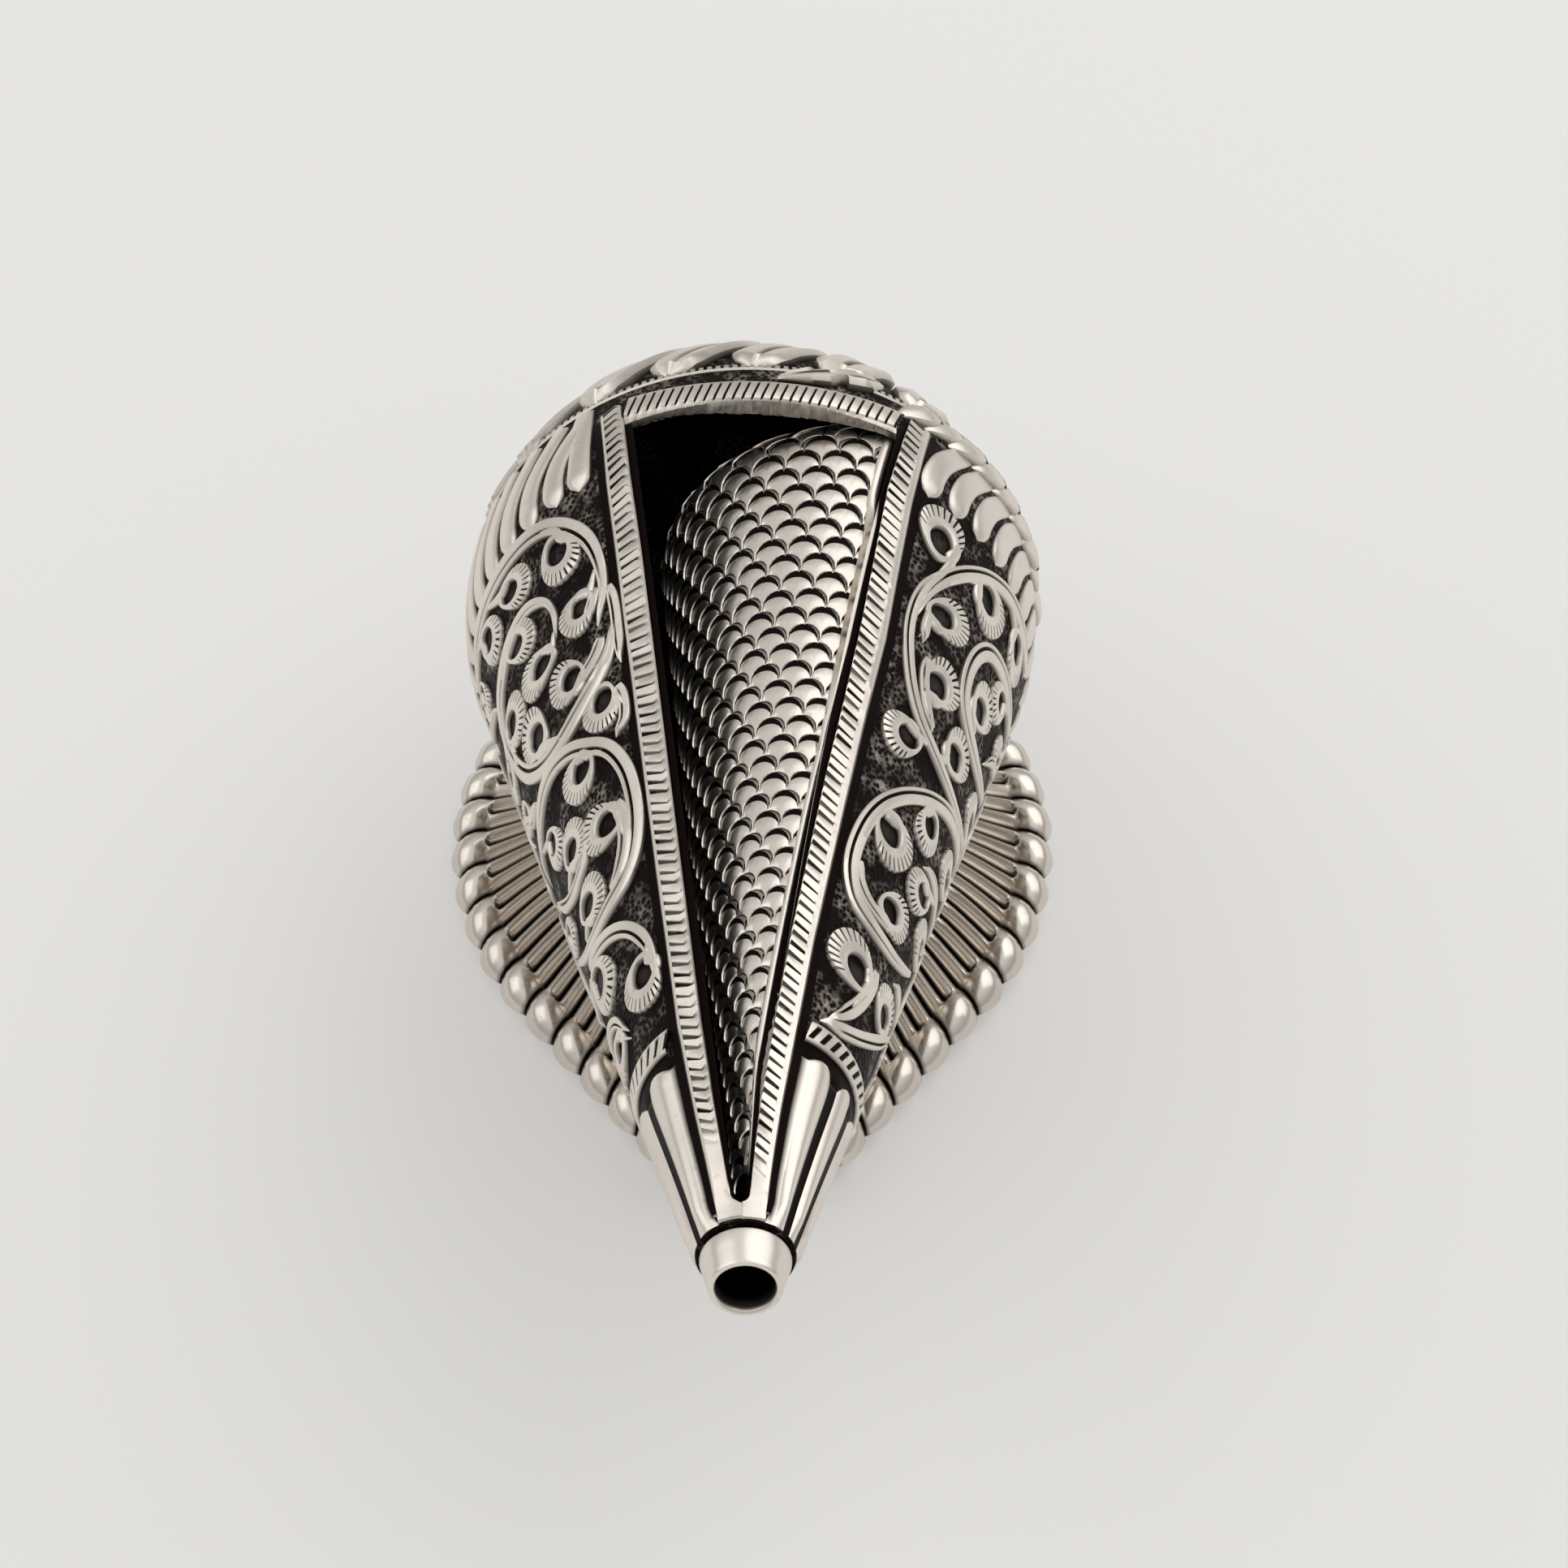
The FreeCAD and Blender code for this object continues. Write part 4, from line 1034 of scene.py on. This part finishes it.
        sheet(bm, 6, len(rows) - 1, place, self.roll_hub)


# The petals: height, degrees by which their lines draw together and where, half the width of a line, and how much
# wider it is towards the collar and where
PETAL_HEIGHT, PETALS_DRAWN, PETALS_DRAWING = 0.5, 9, (86, 17)
LINE_HALF, LINE_WIDENS, LINE_WIDENING = 0.3, 0.15, (99, 84)
# The collar: its nicks, how far they slant in a millimetre as a share of its round, and its room beside the strips
COLLAR_NICKS, COLLAR_SLANT, COLLAR_ROOM = 40, 0.009, 0.7


class CONCH_OT_spout(bpy.types.Operator):
    """Makes the petals and the hatched collar of the spout and turns its ferrule"""

    bl_idname = "conch.spout"
    bl_label = "Spout"

    def execute(self, context):
        self.petals()
        self.collar()
        self.ferrule()
        return {"FINISHED"}

    def petals(self):
        """Swelling petals parted by black lines, each with a round top under a black crescent."""
        bm = new_mesh()
        shares = (0.0, 0.0, 0.01, 0.06, 0.2, 0.36, 0.5, 0.64, 0.8, 0.94, 0.99, 1.0, 1.0)
        rows = 21
        last = len(PETAL_LINES)

        def line(number, along):
            """The angle of the line before a petal: they draw together above, towards the spout's end."""
            if number == 0:
                return lip_angle("right", along, channel("right", along))
            if number > last:
                return 360 + lip_angle("left", along, channel("left", along))
            angle = PETAL_LINES[number - 1]
            start, run = PETALS_DRAWING
            return angle - PETALS_DRAWN * math.sin(math.radians(angle)) * max(0, (along - start) / run)

        for number in range(last + 1):

            def place(column, row):
                share = shares[column]
                off = abs(2 * share - 1)
                beside = number == 0 and column < 2 or number == last and column > len(shares) - 3
                channel_side = number == 0 and share < 0.5 or number == last and share > 0.5
                top = SLEEVE_START + 0.75 + (0.5 if channel_side else 1.3) * off**3
                lift, dark = PETAL_HEIGHT * (1 - 0.92 * off**2.2), 0.0
                first, final = column == 0, column == len(shares) - 1
                if first or final:
                    lift, dark = 0.03 if beside else 0.04, 1.0
                elif column in (1, len(shares) - 2):
                    lift, dark = 0.05, 1.0
                along = (SLEEVE_START, top - 0.04, top, top + 0.15, top + 0.5)[row] if row < 5 else (
                    top + 0.5 + (SLEEVE_END - 0.15 - top - 0.5) * min(1, (row - 4) / (rows - 5)))
                if row < 2:
                    lift, dark = 0.05, 1.0
                elif row == 2:
                    lift, dark = lift * 0.3, 0.8
                elif row == 3:
                    lift = lift * 0.8
                if row == rows:
                    lift, dark = -0.03, 0.6
                elif row >= rows - 2:
                    lift = max(lift, 0.05) * (0.6 if row == rows - 2 else 0.15)
                low, high = line(number, along), line(number + 1, along)
                half = 0.06 if beside else LINE_HALF + LINE_WIDENS * eased(along, *LINE_WIDENING)
                half = math.degrees(half / skin_radius(along))
                if beside:
                    dark *= eased(along, CHANNEL_END, CHANNEL_END - 0.3)
                if first or final:
                    return shell_point(low if first else high, along, lift), dark
                # The wall of a line that faces up is black as well
                start = half if low > 180 or beside else 2 * half
                end = 2 * half if low > 180 and not beside else half
                return shell_point(low + start + (high - low - start - end) * share, along, lift), dark

            sheet(bm, len(shares) - 1, rows, place)
        finished("spout_petals", bm, RAISED)

    def collar(self):
        """The band of slanting nicks between the scrolls and the petals."""
        stations = (
            (79.0, 0.0, 0.9, False), (79.05, 0.36, 0.1, False), (79.3, 0.48, 0.0, False), (79.45, 0.5, 0.0, True),
            (81.0, 0.5, 0.0, True), (81.15, 0.5, 0.0, False), (81.4, 0.4, 0.1, False), (81.45, 0.06, 1.0, False),
            (82.1, 0.05, 1.0, False),
        )
        bm = new_mesh()

        def place(column, row):
            along, lift, dark, nick = stations[column]
            number, step = divmod(row, 4)
            low, high = lip_angle("right", along, COLLAR_ROOM), 360 + lip_angle("left", along, COLLAR_ROOM)
            share = (number + NICK_STEPS[step]) / COLLAR_NICKS - COLLAR_SLANT * (along - 80)
            if nick and step in IN_NICK:
                lift, dark = lift - COLLAR_NICK, 1.0
            return shell_point(low + (high - low) * min(max(share, 0), 1), along, lift), dark

        sheet(bm, len(stations) - 1, 4 * COLLAR_NICKS, place)
        finished("hatched_collar", bm, CHASED, "spout_collar")

    def ferrule(self):
        """The plain tapered tube at the tip, with a black line at its foot and a soft rim; its bore is painted black as
        shade, lighter towards the rim.
        """
        bm = new_mesh()
        turned(bm, (
            (101.2, 2.95, 1.0), (101.2, 4.2, 1.0), (102.9, 4.2, 1.0), (102.98, 4.35, 1.0), (103.46, 4.35, 1.0),
            (103.5, 4.6, 0.2), (103.75, 4.6, 0.0), (105.0, 4.3, 0.0), (106.4, 3.96, 0.0), (107.1, 3.8, 0.0),
            # The bore inside is painted darker the deeper it goes, as shade
            (107.36, 3.72, 0.0), (107.48, 3.6, 0.0), (107.5, 3.4, 0.0), (107.42, 3.17, 0.05), (107.25, 3.05, 0.3),
            (106.9, 2.97, 0.8), (105.5, 2.95, 1.0), (101.2, 2.95, 1.0)), 72)
        finished("plain_ferrule", bm, RAISED, "spout_ferrule")


# The broad leaf that hangs over the band above the mouth, and the first of the leaf tips that follow it round the
# shoulder; how many tips there are, and the degrees to the first one and between two
OVERHANG = ((29, -8.2), (22, -5.6), (13, -3.7), (5.5, -2.7))
TIP = ((10.5, -7.2), (6.5, -4.9), (2.5, -3.2), (-1.5, -1.9))
TIPS, TIPS_FROM, TIPS_STEP = 11, 32, 6.8
# The leaves: degrees of swirl shared out over a whorl's leaves, how much of its place a leaf fills, and the share of
# the first whorl's number on each whorl
LEAF_SWIRL, LEAF_FILL, LEAF_SHARES = 420, 0.74, (1.0, 0.8, 0.5)


class CONCH_OT_spire(bpy.types.Operator):
    """Sets the milled band, the leaves on the whorls and the knob of the spire"""

    bl_idname = "conch.spire"
    bl_label = "Spire"

    def execute(self, context):
        self.band()
        self.leaves(context.scene.conch_sizes.whorl_leaves)
        self.knob()
        return {"FINISHED"}

    def band(self):
        """A bright ridge with a milled line behind it."""
        foot = WHORLS[0][1]
        stations = (
            (SEAM + 0.12, -0.35, 0.9, False), (SEAM + 0.1, 0.55, 0.1, False), (SEAM - 0.1, 0.75, 0.0, False),
            (SEAM - 0.35, 0.6, 0.1, False), (SEAM - 0.45, 0.55, 0.2, True), (SEAM - 1.0, 0.5, 0.2, True),
            (SEAM - 1.1, -0.05, 1.0, False),
        )
        teeth = 210
        bm = new_mesh()

        def place(column, row):
            along, lift, dark, nick = stations[column]
            number, step = divmod(row, 4)
            if nick and step in IN_NICK:
                lift, dark = lift - BAND_NICK, 1.0
            turn = 2 * math.pi * (number + NICK_STEPS[step]) / teeth
            return conch_point((foot + lift) * math.sin(turn), along, (foot + lift) * math.cos(turn)), dark

        sheet(bm, len(stations) - 1, 4 * teeth, place)
        finished("milled_band", bm, CHASED, "shoulder_band")

    def leaves(self, count):
        """Swirling leaves on each whorl, uneven, and fewer and smaller towards the apex."""
        hand = random.Random(11)
        bm = new_mesh()
        for (start, _, end, _, _), share in zip(WHORLS, LEAF_SHARES):
            number = round(count * share)
            low, high = start - 1.3, end + 0.5
            swirl = LEAF_SWIRL / number

            def half_width(v):
                radius = skin_radius(low + (high - low) * v)
                ends = min(1, math.sqrt(max(1 - (1 - min(v / 0.2, 1)) ** 2, 0)), math.sqrt(max((1 - v) / 0.35, 0)))
                return max(0.03, LEAF_FILL * math.pi * radius / number * ends)

            for leaf in range(number):
                tall = share * hand.uniform(1.0, 1.6)

                def height(v):
                    return tall * min(1, 0.05 + v / 0.1, 0.05 + (1 - v) / 0.12)

                angle = 360 * (leaf + hand.uniform(-0.1, 0.1)) / number
                path = [(angle + swirl * t**1.5, low + (high - low) * t) for t in (0, 0.25, 0.5, 0.75, 1)]
                strand(bm, path, half_width, height, LEAF, 0.9)
        strand(bm, OVERHANG, tapered(4.6, 0.3, 0.7), swelling(1.5), LEAF, 0.5)
        for number in range(TIPS):
            shift, size = TIPS_FROM + TIPS_STEP * number + hand.uniform(-0.6, 0.6), hand.uniform(0.85, 1.15)
            strand(bm, shifted(TIP, shift), tapered(4.4 * size, 0.3, 0.5), swelling(1.45 * size), PLAIN, 0.5)
        finished("whorl_leaves", bm, CHASED)

    def knob(self):
        """The ball on its disc that closes the apex."""
        bm = new_mesh()
        ball, middle, neck = 2.18, -43.3, 1.4
        reach = math.acos(neck / ball)
        arc = [reach + (-math.pi / 2 - reach) * step / 14 for step in range(15)]
        profile = [(-39.95, 0.0, 0.0), (-39.95, 4.35, 0.4), (-40.05, 4.6, 0.0), (-40.4, 4.68, 0.0), (-40.75, 4.6, 0.0),
                   (-40.85, 4.3, 0.0), (-41.3, 2.2, 0.3)]
        profile += [
            (middle + ball * math.sin(a), max(ball * math.cos(a), 0.0), 0.8 if a == reach else 0.0) for a in arc]
        turned(bm, profile, 48)
        finished("spire_ball", bm, RAISED, "spire_knob")


# Length of a gadroon's bulb, and the way its flute points at the rim: share of the way from the back to the nose,
# degrees forward of straight sideways
BULB = 3.3
FLUTE_FAN = (
    (0.0, -90), (0.15, -58), (0.3, -22), (0.42, 12), (0.485, 26), (0.54, 40), (0.6, 51), (0.75, 62), (0.9, 74),
    (1.0, 90),
)
# Where a flute bends, as shares of its straight run, how much longer its curve is than that run, and how far the
# flutes crowd together at the back of the seat
FLUTE_BENDS, FLUTE_LONGER, SEAT_CROWDING = (0.47, 0.75), 1.25, 2.8
# Places across half a gadroon, closer together beside the lines between the gadroons and down the middle
HALF_GADROON = (0.0, 0.03, 0.07, 0.12, 0.18, 0.25, 0.32, 0.38, 0.43, 0.47)


class CONCH_OT_foot(bpy.types.Operator):
    """Makes the gadrooned foot"""

    bl_idname = "conch.foot"
    bl_label = "Gadrooned foot"

    @staticmethod
    def outline(half_width, front, side_radius, end_radius, lead):
        """The right half of a teardrop outline as arcs (centre, radius, from, to) and one straight run."""
        back = Vector((0, -lead))
        side, nose = back + Vector((half_width - side_radius, 0)), back + Vector((0, end_radius - front))
        run = nose - side
        lean = math.atan2(run.y, run.x) + math.acos((side_radius - end_radius) / run.length)
        way = Vector((math.cos(lean), math.sin(lean)))
        quarter = math.pi / 2
        return (
            (back, half_width, quarter, 0.0), (side, side_radius, 0.0, lean),
            (side + way * side_radius, nose + way * end_radius), (nose, end_radius, lean, -quarter))

    @staticmethod
    def on_outline(part, share):
        """A place on one part of an outline and the way out of it."""
        if len(part) == 2:
            run = part[1] - part[0]
            return part[0].lerp(part[1], share), Vector((-run.y, run.x)).normalized()
        angle = part[2] + (part[3] - part[2]) * share
        way = Vector((math.cos(angle), math.sin(angle)))
        return part[0] + way * part[1], way

    @staticmethod
    def lengths(outline):
        """The length of each part of half an outline."""
        return [(part[1] - part[0]).length if len(part) == 2 else part[1] * abs(part[3] - part[2]) for part in outline]

    def at(self, outline, half):
        """A place on half an outline by its share of the way from the back to the nose."""
        lengths = self.lengths(outline)
        left = half * sum(lengths)
        for part, length in zip(outline, lengths):
            if left <= length + 1e-6:
                break
            left -= length
        return self.on_outline(part, min(left / length, 1))

    def flute(self, turn):
        """Rim, two bends and seat of a flute and the way out at its rim, by a turn from the middle of the back."""
        flip = -1 if turn > 0.5 else 1
        half = min(2 * (1 - turn if turn > 0.5 else turn), 1)
        rim, way = self.at(self.rim, half)
        seat, _ = self.at(self.seat, half**SEAT_CROWDING)
        for (start, before), (end, after) in zip(FLUTE_FAN, FLUTE_FAN[1:]):
            if half <= end + 1e-9:
                break
        fan = math.radians(before + (after - before) * (half - start) / (end - start))
        run = Vector((math.cos(fan), -math.sin(fan))) * (rim - seat).length
        bends = [rim - share * run for share in FLUTE_BENDS]
        return [Vector((place.x * flip, place.y)) for place in (rim, *bends, seat, way)]

    def execute(self, context):
        sizes = context.scene.stand_sizes
        gadroons, swell, split = sizes.gadroons, sizes.swell / MM, sizes.split_depth / MM
        self.rim, self.seat = self.outline(*STAND_RIM), self.outline(*STAND_SEAT)
        # The foot from its seat out over the bulbs: millimetres in from the rim, share of the rest of the way to the
        # seat, height, swell out, swell up, and whether the flute is split in two
        over = (
            (BULB, 1.0, 9.4, 0.2, 0.0, 1), (BULB, 0.85, 8.1, 0.1, 0.05, 1), (BULB, 0.72, 6.9, 0.1, 0.4, 1),
            (BULB, 0.55, 5.8, 0.0, 0.62, 1), (BULB, 0.35, 4.75, 0.0, 0.75, 1), (BULB, 0.2, 4.15, 0.0, 0.85, 1),
            (BULB, 0.08, 3.8, 0.0, 0.92, 1), (BULB, 0.0, 3.65, 0.0, 0.96, 0.9), (2.95, 0.0, 3.65, 0.0, 1.0, 0.35),
            (2.65, 0.0, 3.68, 0.0, 1.04, 0), (2.2, 0.0, 3.8, 0.05, 1.12, 0),
            (1.6, 0.0, 3.9, 0.2, 1.15, 0), (0.8, 0.0, 3.75, 0.55, 0.95, 0), (0.25, 0.0, 3.3, 0.85, 0.5, 0),
            (0.0, 0.0, 2.6, 0.985, 0.05, 0), (0.3, 0.0, 1.8, 0.8, 0.0, 0), (1.0, 0.0, 1.2, 0.45, 0.0, 0))
        rows = []
        for one, other in zip(over, over[1:]):
            rows += [[a + (b - a) * step / 2 for a, b in zip(one, other)] for step in range(2)]
        rows.append(over[-1])
        outer = len(rows)
        # Back up the hollow underside to the seat
        under = ((0.0, 1.2), (0.05, 2.9), (0.5, 4.3), (0.88, 8.2), (1.0, 8.2))
        rows += [(BULB, share, height, 0, 0, 0) for share, height in under]
        rows.append(over[0])
        phases = [*HALF_GADROON, *(0.5 + phase for phase in HALF_GADROON)]
        bm = new_mesh()

        def place(column, row):
            number, step = divmod(column, len(phases))
            phase = phases[step]
            deep_in, share, height, out, up, halved = rows[row]
            rim, bend, turn_in, seat, way = self.flute(((number + phase) / gadroons) % 1.0)
            length = FLUTE_LONGER * (rim - seat).length
            inwards = (deep_in + share * (length - BULB)) / length
            outwards = 1 - inwards
            spot = (
                rim * outwards**3 + bend * 3 * inwards * outwards**2 + turn_in * 3 * inwards**2 * outwards
                + seat * inwards**3)
            whole, twin = math.sin(math.pi * phase), abs(math.sin(2 * math.pi * phase))
            crest = math.sqrt(whole) * (1 - halved) + (twin**0.8 + split * (twin**0.8 - 1)) * halved
            if row >= outer:
                return Vector((spot.x, spot.y + STAND_Y, height)) * MM, 0.8
            shut = eased(share, 0.85, 0.65)
            dark = max((1 - whole / 0.3) * 1.5 * (1 - halved), (1 - twin / 0.42) * 2 * halved * shut, 0)
            spot += way * swell * out * crest
            return Vector((spot.x, spot.y + STAND_Y, height + swell * up * crest)) * MM, min(1, dark)

        sheet(bm, gadroons * len(phases), len(rows) - 1, place, lambda p: Vector((p.x, p.y, -1)))
        bmesh.ops.remove_doubles(bm, verts=bm.verts, dist=1e-6)
        bmesh.ops.recalc_face_normals(bm, faces=bm.faces)
        finished("gadrooned_foot", bm, CAST, "stand_skirt", body="stand")
        return {"FINISHED"}


# The photograph looks down at 50 degrees, straight up the conch, from about 0.6 m
CAMERA_AT = (3.79 * MM, -369.11 * MM, 489.68 * MM)
CAMERA_TILT = math.radians(40)
CAMERA_SENSOR, CAMERA_LENS = 36.0, 120.886
# The lights: name, place, side and power; both look at the middle of the shell
LIGHTS = (("softbox_right", (0.65, 0.45, 0.90), 1.3, 4.1), ("softbox_left", (-0.90, 0.10, 0.75), 1.0, 1.9))
LIT = Vector((0, 0.02, 0.04))
FLOOR_HALF = 3.0


class CONCH_OT_stage(bpy.types.Operator):
    """Sets the floor, the lights and the camera"""

    bl_idname = "conch.stage"
    bl_label = "Stage"

    def execute(self, context):
        scene = context.scene
        bm = bmesh.new()
        bmesh.ops.create_grid(bm, x_segments=1, y_segments=1, size=FLOOR_HALF)
        mesh = bpy.data.meshes.new("floor")
        bm.to_mesh(mesh)
        bm.free()
        mesh.materials.append(bpy.data.materials[FLOOR])
        floor = bpy.data.objects.new("floor", mesh)
        scene.collection.objects.link(floor)

        world = bpy.data.worlds.new("studio")
        world.use_nodes = True
        tree = world.node_tree
        tree.nodes.clear()
        where = add(tree, "ShaderNodeTexCoord").outputs["Generated"]
        rise = add(tree, "ShaderNodeSeparateXYZ", {"Vector": where}).outputs["Z"]
        level = add(tree, "ShaderNodeMapRange", {
            "Value": rise, "From Min": 0.0, "From Max": 0.9, "To Min": 0.36, "To Max": 0.82})
        sky = add(tree, "ShaderNodeBackground", {"Color": rgba(linear("FBFBFA")), "Strength": level.outputs["Result"]})
        add(tree, "ShaderNodeOutputWorld", {"Surface": sky.outputs[0]})
        scene.world = world

        for name, spot, span, watts in LIGHTS:
            lamp = bpy.data.lights.new(name, "AREA")
            lamp.shape, lamp.size, lamp.energy = "SQUARE", span, watts
            holder = bpy.data.objects.new(name, lamp)
            holder.location = spot
            holder.rotation_euler = (LIT - Vector(spot)).to_track_quat("-Z", "Y").to_euler()
            scene.collection.objects.link(holder)

        lens = bpy.data.cameras.new("camera")
        lens.sensor_width, lens.lens = CAMERA_SENSOR, CAMERA_LENS
        lens.clip_start, lens.clip_end = 0.01, 20.0
        camera = bpy.data.objects.new("camera", lens)
        camera.location = CAMERA_AT
        camera.rotation_euler = (CAMERA_TILT, 0, 0)
        scene.collection.objects.link(camera)
        scene.camera = camera
        scene.view_settings.view_transform = "Standard"
        return {"FINISHED"}


class CONCH_PT_panel(bpy.types.Panel):
    """Lists the steps and sizes of the conch"""

    bl_label = "Chased silver conch"
    bl_idname = "CONCH_PT_panel"
    bl_space_type = "VIEW_3D"
    bl_region_type = "UI"
    bl_category = "Conch"

    def draw(self, context):
        for group in ("conch_sizes", "stand_sizes", "conch_finishes"):
            settings = getattr(context.scene, group)
            for key in settings.__annotations__:
                self.layout.prop(settings, key)
        for operator in OPERATORS:
            self.layout.operator(operator.bl_idname)


OPERATORS = (
    CONCH_OT_finishes, CONCH_OT_scrolls, CONCH_OT_shoulder, CONCH_OT_lips, CONCH_OT_scales, CONCH_OT_spout,
    CONCH_OT_spire, CONCH_OT_foot, CONCH_OT_stage,
)
GROUPS = {"conch_sizes": ConchSizes, "stand_sizes": StandSizes, "conch_finishes": ConchFinishes}


def register():
    """Registers the groups, operators and panel, and puts the groups on the scene."""
    for group in (*GROUPS.values(), *OPERATORS, CONCH_PT_panel):
        bpy.utils.register_class(group)
    for name, group in GROUPS.items():
        setattr(bpy.types.Scene, name, bpy.props.PointerProperty(type=group))


def unregister():
    """Takes away what register puts there."""
    for name in GROUPS:
        delattr(bpy.types.Scene, name)
    for group in reversed((*GROUPS.values(), *OPERATORS, CONCH_PT_panel)):
        bpy.utils.unregister_class(group)


def main():
    """Builds every piece and the stage."""
    register()
    for operator in OPERATORS:
        family, name = operator.bl_idname.split(".")
        getattr(getattr(bpy.ops, family), name)()


if __name__ == "__main__":
    main()
